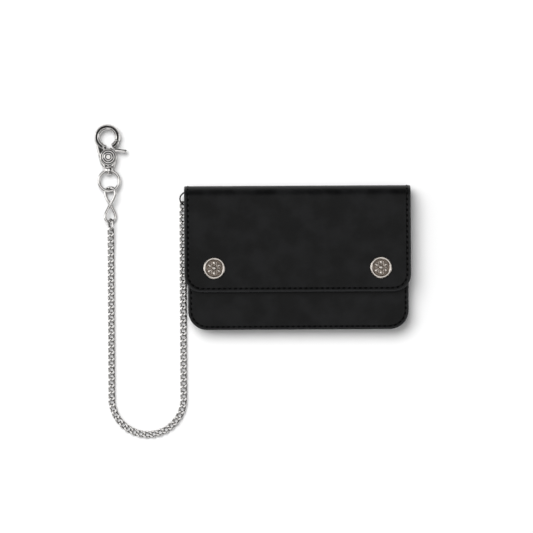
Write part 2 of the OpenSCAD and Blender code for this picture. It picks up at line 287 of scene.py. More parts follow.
def placed(surface: Surface, at: Array, tip: float = 0.0, turn: float = 0.0) -> Surface:
    """Tips a surface about X, turns it about Z and moves it.

    Args:
        surface: The surface.
        at: Where its origin goes.
        tip: Turn about X in degrees, done first.
        turn: Turn about Z in degrees.

    Returns:
        The same surface, moved.
    """
    surface.points = turned(turned(surface.points, "X", tip), "Z", turn) + np.asarray(at)
    return surface


def slab(middle: Array, normal: Array, half: Array, keep: Array, masks: dict[str, Array]) -> Surface:
    """A closed sheet: its two faces lie half a thickness each side of a grid of middle points.

    Args:
        middle: Middle points, rows by columns by 3.
        normal: Directions of the upper face, the same shape.
        half: Half thickness at each point.
        keep: Which cells of the grid are leather.
        masks: Values at each grid point; "u" and "v" give the flat pattern.

    Returns:
        The sheet with a wall wherever a kept cell meets nothing.
    """
    rows, cols = half.shape
    points = np.concatenate([
        (middle + normal * half[..., None]).reshape(-1, 3),
        (middle - normal * half[..., None]).reshape(-1, 3)])
    count = rows * cols
    number = np.arange(count).reshape(rows, cols)
    a, b = number[:-1, :-1], number[:-1, 1:]
    c, d = number[1:, 1:], number[1:, :-1]
    cells = np.stack([a, b, c, d], -1)[keep]
    padded = np.pad(keep, 1)
    across_top = padded[1:, 1:-1] & ~padded[:-1, 1:-1]
    across_low = padded[:-1, 1:-1] & ~padded[1:, 1:-1]
    down_left = padded[1:-1, 1:] & ~padded[1:-1, :-1]
    down_right = padded[1:-1, :-1] & ~padded[1:-1, 1:]
    edges = np.concatenate([
        np.stack([number[:, 1:][across_top], number[:, :-1][across_top]], -1),
        np.stack([number[:, :-1][across_low], number[:, 1:][across_low]], -1),
        np.stack([number[:-1, :][down_left], number[1:, :][down_left]], -1),
        np.stack([number[1:, :][down_right], number[:-1, :][down_right]], -1)])
    walls = np.stack([edges[:, 0], edges[:, 1], edges[:, 1] + count, edges[:, 0] + count], -1)
    faces = np.concatenate([cells, cells[:, ::-1] + count, walls])
    used = np.unique(faces)
    again = np.zeros(2 * count, int)
    again[used] = np.arange(len(used))
    twice = {k: np.tile(v.reshape(-1), 2)[used] for k, v in masks.items()}
    uv = np.stack([twice.pop("u"), twice.pop("v")], 1)
    return Surface(points[used], again[faces].tolist(), uv, twice)


def rounded_half(edge: Array, thickness: float, reach: float) -> Array:
    """Half thickness near an edge: a quarter ellipse that starts at a thin rim.

    Args:
        edge: Distance to the outline.
        thickness: Full thickness.
        reach: Distance over which it rounds.

    Returns:
        Half the thickness at each point.
    """
    c = 1 - np.clip(edge, 0, reach) / reach
    return np.maximum(thickness / 2 * np.sqrt(np.clip(1 - c * c, 0, 1)), 0.05)


@dataclass
class Outline:
    """A flat panel's outline: square upper corners and round lower ones.

    Attributes:
        left: Lowest x.
        right: Highest x.
        bottom: Lowest y.
        top: Highest y.
        corner: Radius of the lower corners.
    """

    left: float
    right: float
    bottom: float
    top: float
    corner: float

    def cut(self, y: Array) -> Array:
        """How far the lower corners come in at a height: radius less root of r2 - (r - t)2."""
        t = np.clip(y - self.bottom, 0, self.corner)
        return self.corner - np.sqrt(np.clip(self.corner**2 - (self.corner - t) ** 2, 0, None))

    def edge(self, x: Array, y: Array) -> Array:
        """Distance to the outline from inside it.

        Args:
            x: Places across.
            y: Places up.

        Returns:
            The distances, at least 0.
        """
        dx = np.minimum(x - self.left, self.right - x)
        dy = y - self.bottom
        r = self.corner
        round_part = r - np.hypot(r - dx, r - dy)
        d = np.where((dx < r) & (dy < r), round_part, np.minimum(dx, dy))
        return np.clip(np.minimum(d, self.top - y), 0, None)

    def seam(self, inset: float, step: float, top: float) -> Array:
        """Evenly spaced places along a seam, down the left, along the bottom and up the right.

        Args:
            inset: Distance from the outline.
            step: Wanted distance between places.
            top: Height at which the seam starts and ends.

        Returns:
            Places as (x, y) rows.
        """
        r = self.corner - inset
        a = np.radians(np.linspace(180, 270, 25))
        centre = [self.left + self.corner, self.bottom + self.corner]
        arc = np.stack([r * np.cos(a), r * np.sin(a)], 1) + centre
        mirror = arc[::-1] * [-1, 1] + [self.left + self.right, 0]
        line = np.vstack([[self.left + inset, top], arc, mirror, [self.right - inset, top]])
        run = np.concatenate([[0], np.cumsum(np.linalg.norm(np.diff(line, axis=0), axis=1))])
        count = round(run[-1] / step)
        at = np.linspace(0, run[-1], count + 1)
        return np.stack([np.interp(at, run, line[:, 0]), np.interp(at, run, line[:, 1])], 1)


# Distances from a straight edge, and from a round corner's edge, at which a panel's grid has
# its lines; how far apart the lines are beyond them; and over what a leather edge is rounded.
RIM_STEPS = np.array([0, 0.03, 0.1, 0.22, 0.42, 0.7, 1.0, 1.6, 2.4, 3.4, 5.0, 8.0])
CORNER_STEPS = np.array([
    0, 0.02, 0.08, 0.2, 0.42, 0.7, 1, 1.4, 1.9, 2.5, 3.2, 4, 5, 6.2, 7.6, 9.2, 11.2, 13.5])
PANEL_STEP = 3.5
ROUNDING = 0.85
# How much of a seam's step is left bare at each end of a stitch.
STITCH_GAP = 0.17


def spread(start: float, end: float, step: float) -> Array:
    """Evenly spaced values after start and before end, about a step apart."""
    count = max(int(round(abs(end - start) / step)), 1)
    return np.linspace(start, end, count + 1)[1:-1]


@dataclass
class Panel:
    """A flat leather panel with rounded, burnished edges.

    Attributes:
        outline: Its outline.
        low: Height of its lower face.
        thickness: Its thickness.
        notch: Corner (x, y) beyond which its upper left is cut away, if any.
        swell: How far its middle rises in soft, wide waves.
    """

    outline: Outline
    low: float
    thickness: float
    notch: tuple[float, float] | None = None
    swell: float = 0.0

    def relief(self, x: Array, y: Array) -> Array:
        """Soft waves of the panel: two crossed sines, which die out at the outline."""
        waves = np.sin(x / 19 + 0.7) * np.sin(y / 15 + 0.4) + 0.6 * np.sin(x / 31 - y / 23)
        return self.swell * waves * smooth_rise(self.outline.edge(x, y), 0, 12)

    def surface(self) -> Surface:
        """The panel on a grid whose columns keep their distance to both sides in the corners.

        Returns:
            The panel, its pattern map in place and its "edge" the distance to the outline.
        """
        o = self.outline
        rim = RIM_STEPS[-1]
        rows = np.concatenate([
            o.bottom + CORNER_STEPS, spread(o.bottom + CORNER_STEPS[-1], o.top - rim, PANEL_STEP),
            o.top - RIM_STEPS[::-1]])
        wide = o.right - o.left
        inner = rim + spread(0, 1, PANEL_STEP / (wide - 2 * rim)) * (wide - 2 * rim)
        if self.notch:
            rows = np.sort(np.append(rows, self.notch[1]))
        cut = o.cut(rows)[:, None]
        width = wide - 2 * cut
        columns = np.concatenate([RIM_STEPS, inner, wide - RIM_STEPS[::-1]])[None, :]
        near = np.minimum(columns, rim)
        far = np.minimum(wide - columns, rim)
        middle = (columns - near) / (wide - 2 * rim) * (width - 2 * rim)
        x = o.left + cut + np.where(columns > wide - rim, width - far, near + middle)
        y = np.broadcast_to(rows[:, None], x.shape)
        edge = o.edge(x, y)
        keep = np.ones((len(rows) - 1, x.shape[1] - 1), bool)
        if self.notch:
            left = (x[:-1, :-1] + x[1:, 1:]) / 2 < self.notch[0]
            keep &= ~(left & ((y[:-1, :-1] + y[1:, 1:]) / 2 > self.notch[1]))
        z = self.low + self.thickness / 2 + self.relief(x, y)
        normal = np.broadcast_to([0.0, 0.0, 1.0], x.shape + (3,))
        half = rounded_half(edge, self.thickness, min(ROUNDING, self.thickness * 0.6))
        return slab(np.stack([x, y, z], -1), normal, half, keep, {"edge": edge, "u": x, "v": y})


def stitches(
    starts: Array, ends: Array, normals: Array, thread: float, bury: float, lean: float = 0.3
) -> tuple[Surface, Surface]:
    """Rows of thread between needle holes, and the holes at their ends, whose near-black finish is painted
    shade.

    Each stitch is a five-ring tube whose middle rises as a half sine, and whose ends dip into
    the leather; each hole is a shallow cup of eight sides, whose near-black finish is painted shade.

    Args:
        starts: First hole of each stitch on the surface.
        ends: Last hole of each stitch.
        normals: Direction out of the leather.
        thread: Thread diameter.
        bury: How deep the ends dip.
        lean: How far each end stands off the seam's line, to opposite sides.

    Returns:
        The threads and the holes.
    """
    off = np.cross(normals, unit(ends - starts)) * lean
    starts, ends = starts - off, ends + off
    along = unit(ends - starts)
    side = np.cross(normals, along)
    t = np.array([0.0, 0.12, 0.35, 0.65, 0.88, 1.0])
    rise = (np.sin(np.pi * t) ** 0.6) * (thread * 0.5 + bury) - bury
    size = thread / 2 * np.array([0.55, 0.85, 1.0, 1.0, 0.85, 0.55])
    middle = starts[:, None] + (ends - starts)[:, None] * t[:, None] + normals[:, None] * (
        rise - thread * 0.3)[:, None]
    a = np.linspace(0, 2 * np.pi, 7, endpoint=False)
    ring = side[:, None, None] * np.cos(a)[:, None] + normals[:, None, None] * np.sin(a)[:, None] * 0.8
    points = middle[:, :, None] + ring * size[:, None, None]
    count, rings, sides = points.shape[:3]
    faces = [f for n in range(count) for f in grid_faces(rings, sides, False, n * rings * sides)]
    uv = np.stack(np.broadcast_arrays(
        (t * 3.0)[None, :, None], np.arange(sides)[None, None, :] / sides), -1)
    uv = np.broadcast_to(uv, (count, rings, sides, 2)).reshape(-1, 2)
    threads = Surface(points.reshape(-1, 3), faces, uv)
    b = np.linspace(0, 2 * np.pi, 8, endpoint=False)
    radius = np.array([0.1, 0.45, 0.68, 0.5])
    level = np.array([0.012, 0.03, 0.0, -0.2])
    cup = side[:, None, None] * np.cos(b)[:, None] + along[:, None, None] * np.sin(b)[:, None]
    cup = starts[:, None, None] + cup * radius[:, None, None]
    cup = cup + normals[:, None, None] * level[:, None, None]
    flat = [f for n in range(count) for f in grid_faces(4, 8, False, n * 32)]
    return threads, Surface(cup.reshape(-1, 3), [f[::-1] for f in flat])


# ---- putting pieces into the scene ----------------------------------------------------------


@dataclass
class Bend:
    """Two bodies and the stretch over which a sheet passes from one to the other, in mm."""

    first: str
    second: str
    start: tuple[float, float, float]
    end: tuple[float, float, float]


def dressed(
    name: str, surface: Surface, material: bpy.types.Material,
    goes_with: str | Bend, stands_for: tuple[str, ...] = (), weld: bool = False, sharp: float = 50.0,
) -> bpy.types.Object:
    """Makes an object from a surface and gives it its finish, its body and what it stands for.

    Args:
        name: The piece's name.
        surface: Its shape in millimetres.
        material: Its finish.
        goes_with: The body it rides on, or a bend, which leaves the piece on no body with its place baked in.
        stands_for: CAD nodes that it takes the place of.
        weld: Merges doubled points, such as poles, and turns the faces outwards.
        sharp: Edges sharper than this many degrees stay crisp.

    Returns:
        The finished object.
    """
    mesh = bpy.data.meshes.new(name)
    mesh.from_pydata((surface.points * MM).tolist(), [], surface.faces)
    for key, values in surface.masks.items():
        mesh.attributes.new(key, "FLOAT", "POINT").data.foreach_set("value", values.astype(np.float32))
    if surface.uv is not None:
        corner = np.empty(len(mesh.loops), np.int32)
        mesh.loops.foreach_get("vertex_index", corner)
        layer = mesh.uv_layers.new(name="pattern")
        layer.data.foreach_set("uv", (surface.uv[corner] * MM).astype(np.float32).reshape(-1))
    if weld:
        cast = bmesh.new()
        cast.from_mesh(mesh)
        bmesh.ops.remove_doubles(cast, verts=cast.verts, dist=WELD)
        bmesh.ops.recalc_face_normals(cast, faces=cast.faces)
        cast.to_mesh(mesh)
        cast.free()
    mesh.shade_smooth()
    mesh.set_sharp_from_angle(angle=math.radians(sharp))
    mesh.materials.append(material)
    piece = bpy.data.objects.new(name, mesh)
    bpy.context.scene.collection.objects.link(piece)
    if stands_for:
        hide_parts(*stands_for)
    if isinstance(goes_with, Bend):
        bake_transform(piece)
    else:
        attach(piece, goes_with)
    LOG.info("%s: %d points, %d faces", name, len(mesh.vertices), len(mesh.polygons))
    return piece


def softened(
    name: str, node: str, width: float, material: bpy.types.Material, body: str
) -> bpy.types.Object:
    """A copy of a frame part with its doubles merged and its edges rounded by a bevel.

    Args:
        name: The piece's name.
        node: The frame part.
        width: Bevel width in millimetres.
        material: Its finish.
        body: The body it rides on.

    Returns:
        The finished object.
    """
    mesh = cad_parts[node].data.copy()
    mesh.name = name
    cast = bmesh.new()
    cast.from_mesh(mesh)
    bmesh.ops.remove_doubles(cast, verts=cast.verts, dist=WELD)
    bmesh.ops.dissolve_limit(cast, angle_limit=math.radians(2), verts=cast.verts, edges=cast.edges)
    cast.to_mesh(mesh)
    cast.free()
    mesh.materials.clear()
    mesh.materials.append(material)
    mesh.shade_smooth()
    piece = bpy.data.objects.new(name, mesh)
    bpy.context.scene.collection.objects.link(piece)
    bevel = piece.modifiers.new("rounded edges", "BEVEL")
    bevel.width = width * MM
    bevel.segments = 3
    bevel.limit_method = "ANGLE"
    bevel.angle_limit = math.radians(40)
    bevel.harden_normals = True
    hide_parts(node)
    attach(piece, body)
    LOG.info("%s: a softened %s", name, node)
    return piece


# ---- finishes -------------------------------------------------------------------------------


class Tree:
    """A node tree in the making, with short ways to add nodes and to do sums."""

    def __init__(self, tree: bpy.types.NodeTree) -> None:
        """Keeps the tree."""
        self.tree = tree

    def node(self, kind: str, **settings: object) -> bpy.types.Node:
        """Adds a node and sets its options.

        Args:
            kind: The node's type.
            settings: Its options by name.

        Returns:
            The node.
        """
        made = self.tree.nodes.new(kind)
        for key, value in settings.items():
            setattr(made, key, value)
        return made

    def feed(self, target: bpy.types.NodeSocket, value: object) -> None:
        """Joins a socket to a target, or sets the target to a plain value."""
        if isinstance(value, bpy.types.NodeSocket):
            self.tree.links.new(value, target)
        else:
            target.default_value = value

    def sum(self, operation: str, *values: object) -> bpy.types.NodeSocket:
        """The result of a Math node.

        Args:
            operation: What it does.
            values: Its inputs, numbers or sockets.

        Returns:
            Its output.
        """
        made = self.node("ShaderNodeMath", operation=operation)
        for target, value in zip(made.inputs, values):
            self.feed(target, value)
        return made.outputs[0]

    def plus(self, first: object, second: object) -> bpy.types.NodeSocket:
        """The first added to the second."""
        return self.sum("ADD", first, second)

    def minus(self, first: object, second: object) -> bpy.types.NodeSocket:
        """The first less the second."""
        return self.sum("SUBTRACT", first, second)

    def times(self, first: object, second: object) -> bpy.types.NodeSocket:
        """The first times the second."""
        return self.sum("MULTIPLY", first, second)

    def over(self, first: object, second: object) -> bpy.types.NodeSocket:
        """The first divided by the second."""
        return self.sum("DIVIDE", first, second)

    def in_mm(self, place: object) -> bpy.types.NodeSocket:
        """A place given in metres, in millimetres."""
        return self.vector("SCALE", place, PER_METRE)

    def vector(self, operation: str, *values: object) -> bpy.types.NodeSocket:
        """The result of a Vector Math node.

        Args:
            operation: What it does.
            values: Its inputs; the second of "SCALE" is one number.

        Returns:
            Its output.
        """
        made = self.node("ShaderNodeVectorMath", operation=operation)
        self.feed(made.inputs[0], values[0])
        if len(values) > 1:
            self.feed(made.inputs["Scale"] if operation == "SCALE" else made.inputs[1], values[1])
        return made.outputs[0]

    def between(
        self, value: object, low: float, high: float, a: float, b: float
    ) -> bpy.types.NodeSocket:
        """Maps low..high to a..b smoothly and holds the ends.

        Args:
            value: The value.
            low: Where it gives a.
            high: Where it gives b.
            a: Result at low and before it.
            b: Result at high and beyond it.

        Returns:
            The mapped value.
        """
        made = self.node("ShaderNodeMapRange", interpolation_type="SMOOTHSTEP")
        for key, number in (("From Min", low), ("From Max", high), ("To Min", a), ("To Max", b)):
            self.feed(made.inputs[key], number)
        self.feed(made.inputs["Value"], value)
        return made.outputs[0]

    def mix(self, share: object, first: object, second: object) -> bpy.types.NodeSocket:
        """Mixes two colours.

        Args:
            share: Share of the second, 0 to 1.
            first: The first colour.
            second: The second colour.

        Returns:
            The mixed colour.
        """
        made = self.node("ShaderNodeMix", data_type="RGBA")
        self.feed(made.inputs[0], share)
        self.feed(made.inputs[6], first)
        self.feed(made.inputs[7], second)
        return made.outputs[2]

    def noise(self, vector: object, scale: object, detail: float = 3.0) -> bpy.types.NodeSocket:
        """Noise from 0 to 1.

        Args:
            vector: Where it is read.
            scale: Its features are about 1 / scale across.
            detail: How many finer layers it has.

        Returns:
            The noise.
        """
        made = self.node("ShaderNodeTexNoise")
        self.feed(made.inputs["Vector"], vector)
        self.feed(made.inputs["Scale"], scale)
        made.inputs["Detail"].default_value = detail
        return made.outputs["Fac"]

    def group(self, group: bpy.types.NodeTree, **values: object) -> bpy.types.Node:
        """Places a node group and feeds its inputs.

        Args:
            group: The group.
            values: Its inputs by name, with _ for a space.

        Returns:
            The group's node.
        """
        made = self.node("ShaderNodeGroup", node_tree=group)
        for key, value in values.items():
            self.feed(made.inputs[key.replace("_", " ")], value)
        return made


def new_group(
    name: str, inputs: dict[str, object], outputs: tuple[str, ...]
) -> tuple[Tree, dict, dict]:
    """Starts a node group.

    Args:
        name: The group's name.
        inputs: Input names with their starting values; None makes a vector.
        outputs: Names of its values.

    Returns:
        The tree, its input sockets by name and its output sockets by name.
    """
    group = bpy.data.node_groups.new(name, "ShaderNodeTree")
    for key, value in inputs.items():
        kind = "NodeSocketVector" if value is None else "NodeSocketFloat"
        socket = group.interface.new_socket(key, in_out="INPUT", socket_type=kind)
        if value is not None:
            socket.default_value = value
    for key in outputs:
        group.interface.new_socket(key, in_out="OUTPUT", socket_type="NodeSocketFloat")
    tree = Tree(group)
    entry = tree.node("NodeGroupInput")
    leave = tree.node("NodeGroupOutput")
    return tree, {k: entry.outputs[k] for k in inputs}, {k: leave.inputs[k] for k in outputs}


def hide_grain() -> bpy.types.NodeTree:
    """Pebbled hide: cells with soft walls, fine pores, and long faint creases over them.

    Returns:
        The group's tree.
    """
    tree, given, out = new_group(
        "hide grain", {"Vector": None, "Pebble mm": 0.6, "Crease mm": 7.0}, ("Height", "Tone"))
    place = tree.in_mm(given["Vector"])
    cells = tree.node("ShaderNodeTexVoronoi", feature="SMOOTH_F1")
    tree.feed(cells.inputs["Vector"], place)
    tree.feed(cells.inputs["Scale"], tree.over(1.0, given["Pebble mm"]))
    cells.inputs["Smoothness"].default_value = 0.4
    pores = tree.noise(place, tree.over(2.6, given["Pebble mm"]), 4.0)
    folds = tree.noise(place, tree.over(1.0, given["Crease mm"]), 5.0)
    ridge = tree.sum("ABSOLUTE", tree.minus(folds, 0.5))
    pebble = tree.minus(1.0, cells.outputs["Distance"])
    height = tree.plus(tree.times(pebble, 0.5), tree.times(pores, 0.35))
    deep = tree.between(ridge, 0.0, 0.03, -0.25, 0.0)
    tree.feed(out["Height"], tree.plus(height, deep))
    tone = tree.plus(tree.times(folds, 0.7), tree.times(pores, 0.3))
    tree.feed(out["Tone"], tone)
    return tree.tree


def edge_wear() -> bpy.types.NodeTree:
    """Near an outline: a burnished rim, a creased line, a stitch channel and scuffs.

    Returns:
        The group's tree.
    """
    tree, given, out = new_group(
        "edge wear", {"Vector": None, "Edge mm": 5.0, "Line mm": 1.3, "Channel mm": 2.6, "Depth": 1.0},
        ("Rim", "Scuff", "Channel", "Height"))
    place = tree.in_mm(given["Vector"])
    ragged = tree.noise(place, 0.5, 4.0)
    reach = tree.plus(given["Edge mm"], tree.times(tree.minus(ragged, 0.5), 0.5))
    tree.feed(out["Rim"], tree.between(reach, 0.9, 1.7, 1.0, 0.0))
    spots = tree.between(tree.noise(place, 1.3, 5.0), 0.56, 0.72, 0.0, 1.0)
    tree.feed(out["Scuff"], tree.times(spots, tree.between(reach, 0.4, 2.4, 1.0, 0.15)))
    total = None
    for middle, wide, deep in ((given["Line mm"], 0.2, 0.14), (given["Channel mm"], 0.75, 0.3)):
        off = tree.sum("ABSOLUTE", tree.minus(given["Edge mm"], middle))
        groove = tree.times(tree.between(off, 0.0, wide, -deep, 0.0), given["Depth"])
        total = groove if total is None else tree.plus(total, groove)
    tree.feed(out["Height"], total)
    off = tree.sum("ABSOLUTE", tree.minus(given["Edge mm"], given["Channel mm"]))
    tree.feed(out["Channel"], tree.times(tree.between(off, 0.25, 0.8, 1.0, 0.0), given["Depth"]))
    return tree.tree


def handling() -> bpy.types.NodeTree:
    """Handling marks: soft smudges, specks of dust and fine crossed scratches.

    Returns:
        The group's tree.
    """
    tree, given, out = new_group(
        "handling", {"Vector": None, "Smudge mm": 9.0, "Scratch mm": 0.3}, ("Smudge", "Speck", "Scratch"))
    place = tree.in_mm(given["Vector"])
    soft = tree.noise(place, tree.over(1.0, given["Smudge mm"]), 4.0)
    tree.feed(out["Smudge"], tree.between(soft, 0.38, 0.66, 0.0, 1.0))
    tree.feed(out["Speck"], tree.between(tree.noise(place, 2.7, 2.0), 0.71, 0.77, 0.0, 1.0))
    total = None
    for turn in ((0.07, 1.0, 0.5), (1.0, 0.09, 0.6)):
        stretched = tree.vector("MULTIPLY", place, turn)
        lines = tree.noise(stretched, tree.over(1.0, given["Scratch mm"]), 2.0)
        total = lines if total is None else tree.sum("MAXIMUM", total, lines)
    tree.feed(out["Scratch"], tree.between(total, 0.56, 0.74, 0.0, 1.0))
    return tree.tree


def cloth_weave() -> bpy.types.NodeTree:
    """A twill: crossed waves along the two threads of a cloth.

    Returns:
        The group's tree.
    """
    tree, given, out = new_group("cloth weave", {"Vector": None, "Thread mm": 0.4}, ("Height", "Tone"))
    place = tree.in_mm(given["Vector"])
    parts = tree.node("ShaderNodeSeparateXYZ")
    tree.feed(parts.inputs[0], place)
    full = tree.over(2 * math.pi, given["Thread mm"])
    u = tree.times(parts.outputs[0], full)
    v = tree.times(parts.outputs[1], full)
    twill = tree.sum("SINE", tree.plus(u, v))
    weft = tree.sum("ABSOLUTE", tree.sum("SINE", tree.times(v, 0.5)))
    both = tree.plus(tree.times(twill, 0.3), tree.times(weft, 0.5))
    tree.feed(out["Height"], both)
    tree.feed(out["Tone"], tree.noise(place, 1.2, 5.0))
    return tree.tree


class Groups:
    """The node groups that the finishes share, built once."""

    def __init__(self) -> None:
        """Builds every group."""
        self.grain = hide_grain()
        self.wear = edge_wear()
        self.handling = handling()
        self.weave = cloth_weave()


Colour = tuple[float, float, float, float]


def grey(value: float, warmth: float = 0.0) -> Colour:
    """A grey in linear light, warmer above 0 and cooler below."""
    return (value * (1 + warmth), value, value * (1 - warmth), 1.0)


def started(name: str) -> tuple[bpy.types.Material, Tree, bpy.types.Node]:
    """Starts a node material.

    Args:
        name: The material's name.

    Returns:
        The material, its tree and its Principled shader.
    """
    material = bpy.data.materials.new(name)
    material.use_nodes = True
    tree = Tree(material.node_tree)
    return material, tree, material.node_tree.nodes["Principled BSDF"]


def own_pattern(tree: Tree) -> bpy.types.NodeSocket:
    """The piece's own flat pattern, in metres."""
    return tree.node("ShaderNodeUVMap", uv_map="pattern").outputs[0]


def in_place(tree: Tree) -> bpy.types.NodeSocket:
    """The point's own place on the object, in metres."""
    return tree.node("ShaderNodeTexCoord").outputs["Object"]


def mask(tree: Tree, name: str) -> bpy.types.NodeSocket:
    """A value kept at the mesh's points."""
    return tree.node("ShaderNodeAttribute", attribute_name=name).outputs["Fac"]


def raised(tree: Tree, shader: bpy.types.Node, height: object, distance: float) -> None:
    """Feeds a height through a Bump node to the shader's normal.

    Args:
        tree: The material's tree.
        shader: Its shader.
        height: The height.
        distance: How far a height of 1 stands up, in millimetres.
    """
    bump = tree.node("ShaderNodeBump")
    bump.inputs["Strength"].default_value = 1.0
    bump.inputs["Distance"].default_value = distance * MM
    tree.feed(bump.inputs["Height"], height)
    tree.feed(shader.inputs["Normal"], bump.outputs[0])


@dataclass(frozen=True)
class Leather:
    """Dyed leather with grain, a dressed rim with a painted highlight, a crease, and a stitch channel painted
    darker as shade.

    Attributes:
        name: The material's name.
        colour: Its dye.
        worn: Colour where it is scuffed.
        pebble: Size of its grain in millimetres.
        relief: Depth of its grain in millimetres.
        smooth: Roughness where it is waxed.
        dull: Roughness where it is dry.
        line: Distance of the creased line from the edge.
        channel: Distance of the stitch channel from the edge.
        tooling: How deep both are pressed, 0 for none.
        wax: Weight of the wax coat on the rim.
        rim: Colour of the pressed and waxed rim, lighter and bluer than the dye as a painted highlight.
        dry: Colour of the drier patches.
        patchy: How strong they are, 0 to 1.
    """

    name: str
    colour: Colour
    worn: Colour
    pebble: float = 0.6
    relief: float = 0.035
    smooth: float = 0.33
    dull: float = 0.41
    line: float = 1.25
    channel: float = 2.6
    tooling: float = 1.0
    wax: float = 0.2
    rim: Colour = (0.0125, 0.013, 0.0138, 1.0)
    dry: Colour = (0.0145, 0.0148, 0.0158, 1.0)
    patchy: float = 0.36

    def build(self, groups: Groups) -> bpy.types.Material:
        """Builds the material.

        Args:
            groups: The shared node groups.

        Returns:
            The material, which reads the pattern map and the "edge" value.
        """
        material, tree, shader = started(self.name)
        flat = own_pattern(tree)
        edge = mask(tree, "edge")
        grain = tree.group(groups.grain, Vector=flat, Pebble_mm=self.pebble, Crease_mm=11.0)
        wear = tree.group(
            groups.wear, Vector=flat, Edge_mm=edge, Line_mm=self.line, Channel_mm=self.channel,
            Depth=self.tooling)
        marks = tree.group(groups.handling, Vector=flat, Smudge_mm=16.0, Scratch_mm=0.5)
        tone = tree.between(grain.outputs["Tone"], 0.35, 0.65, 0.0, 1.0)
        dye = tree.mix(tone, self.colour, tuple(c * 0.72 for c in self.colour[:3]) + (1.0,))
        dried = tree.mix(tree.times(marks.outputs["Smudge"], self.patchy), dye, self.dry)
        scuffed = tree.mix(tree.times(wear.outputs["Scuff"], 0.35), dried, self.worn)
        # The stitch channel is mixed a quarter of the way to near-black: painted shade in the groove.
        pressed = tree.mix(tree.times(wear.outputs["Channel"], 0.25), scuffed, grey(0.003))
        # The rim's lighter, bluer colour is a painted highlight on the pressed band; its wax coat and lower
        # roughness are real.
        rim = tree.mix(tree.times(wear.outputs["Rim"], 0.8), pressed, self.rim)
        dusty = tree.mix(tree.times(marks.outputs["Speck"], 0.10), rim, grey(0.2))
        tree.feed(shader.inputs["Base Color"], dusty)
        gloss = tree.between(marks.outputs["Smudge"], 0.0, 1.0, self.smooth, self.dull)
        gloss = tree.plus(gloss, tree.times(wear.outputs["Scuff"], 0.06))
        gloss = tree.minus(gloss, tree.times(wear.outputs["Rim"], 0.12))
        tree.feed(shader.inputs["Roughness"], gloss)
        tree.feed(shader.inputs["Coat Weight"], tree.times(wear.outputs["Rim"], self.wax))
        shader.inputs["Coat Roughness"].default_value = 0.28
        shader.inputs["Specular IOR Level"].default_value = 0.15
        high = tree.times(grain.outputs["Height"], self.relief)
        high = tree.plus(high, wear.outputs["Height"])
        high = tree.minus(high, tree.times(marks.outputs["Scratch"], 0.004))
        raised(tree, shader, high, 1.0)
        return material


@dataclass(frozen=True)
class EdgePaint:
    """The burnished edge of stacked leather layers.

    Attributes:
        name: The material's name.
        colour: The paint.
        fibre: Colour of the fibres where it is thin.
        gloss: Roughness where it is polished.
    """

    name: str
    colour: Colour
    fibre: Colour
    gloss: float = 0.34

    def build(self, groups: Groups) -> bpy.types.Material:
        """Builds the material.

        Args:
            groups: The shared node groups.

        Returns:
            The material, which reads a "seam" value that is 1 in the joint between two layers.
        """
        material, tree, shader = started(self.name)
        place = in_place(tree)
        marks = tree.group(groups.handling, Vector=place, Smudge_mm=5.0, Scratch_mm=0.4)
        seam = mask(tree, "seam")
        fibres = tree.noise(tree.vector("MULTIPLY", place, (700.0, 700.0, 4000.0)), 1.0, 5.0)
        body = tree.mix(tree.between(fibres, 0.45, 0.7, 0.0, 0.6), self.colour, self.fibre)
        tree.feed(shader.inputs["Base Color"], tree.mix(seam, body, grey(0.003)))
        rough = tree.between(marks.outputs["Smudge"], 0.0, 1.0, self.gloss, self.gloss + 0.2)
        tree.feed(shader.inputs["Roughness"], rough)
        raised(tree, shader, tree.times(fibres, 0.07), 1.0)
        return material


@dataclass(frozen=True)
class Thread:
    """Waxed, twisted thread.

    Attributes:
        name: The material's name.
        colour: The thread's colour.
        rough: Its roughness.
        sheen: Its specular level.
    """

    name: str
    colour: Colour
    rough: float = 0.5
    sheen: float = 0.05

    def build(self) -> bpy.types.Material:
        """Builds the material.

        Returns:
            The material, whose slanting ply lines follow the thread's own pattern map.
        """
        material, tree, shader = started(self.name)
        parts = tree.node("ShaderNodeSeparateXYZ")
        tree.feed(parts.inputs[0], tree.in_mm(own_pattern(tree)))
        along = tree.times(parts.outputs[0], 7.0)
        slant = tree.plus(along, tree.times(parts.outputs[1], 2 * math.pi))
        ply = tree.sum("ABSOLUTE", tree.sum("SINE", slant))
        fuzz = tree.noise(in_place(tree), 3000.0, 2.0)
        shade = tree.between(ply, 0.0, 0.5, 0.0, 1.0)
        tree.feed(shader.inputs["Base Color"], tree.mix(shade, grey(0.0012), self.colour))
        rough = tree.between(fuzz, 0.3, 0.7, self.rough - 0.08, self.rough + 0.1)
        tree.feed(shader.inputs["Roughness"], rough)
        shader.inputs["Specular IOR Level"].default_value = self.sheen
        raised(tree, shader, tree.times(ply, 0.06), 1.0)
        return material


@dataclass(frozen=True)
class Cloth:
    """Woven tape.

    Attributes:
        name: The material's name.
        colour: Its dye.
        thread: Distance between threads in millimetres.
    """

    name: str
    colour: Colour
    thread: float = 0.45

    def build(self, groups: Groups) -> bpy.types.Material:
        """Builds the material.

        Args:
            groups: The shared node groups.

        Returns:
            The material, which reads the pattern map.
        """
        material, tree, shader = started(self.name)
        weave = tree.group(groups.weave, Vector=own_pattern(tree), Thread_mm=self.thread)
        pale = tuple(c * 1.9 for c in self.colour[:3]) + (1.0,)
        shade = tree.between(weave.outputs["Height"], -0.1, 0.8, 0.0, 1.0)
        tree.feed(shader.inputs["Base Color"], tree.mix(shade, self.colour, pale))
        tree.feed(shader.inputs["Roughness"], tree.between(weave.outputs["Tone"], 0.3, 0.7, 0.72, 0.9))
        shader.inputs["Sheen Weight"].default_value = 0.3
        raised(tree, shader, tree.times(weave.outputs["Height"], 0.08), 1.0)
        return material


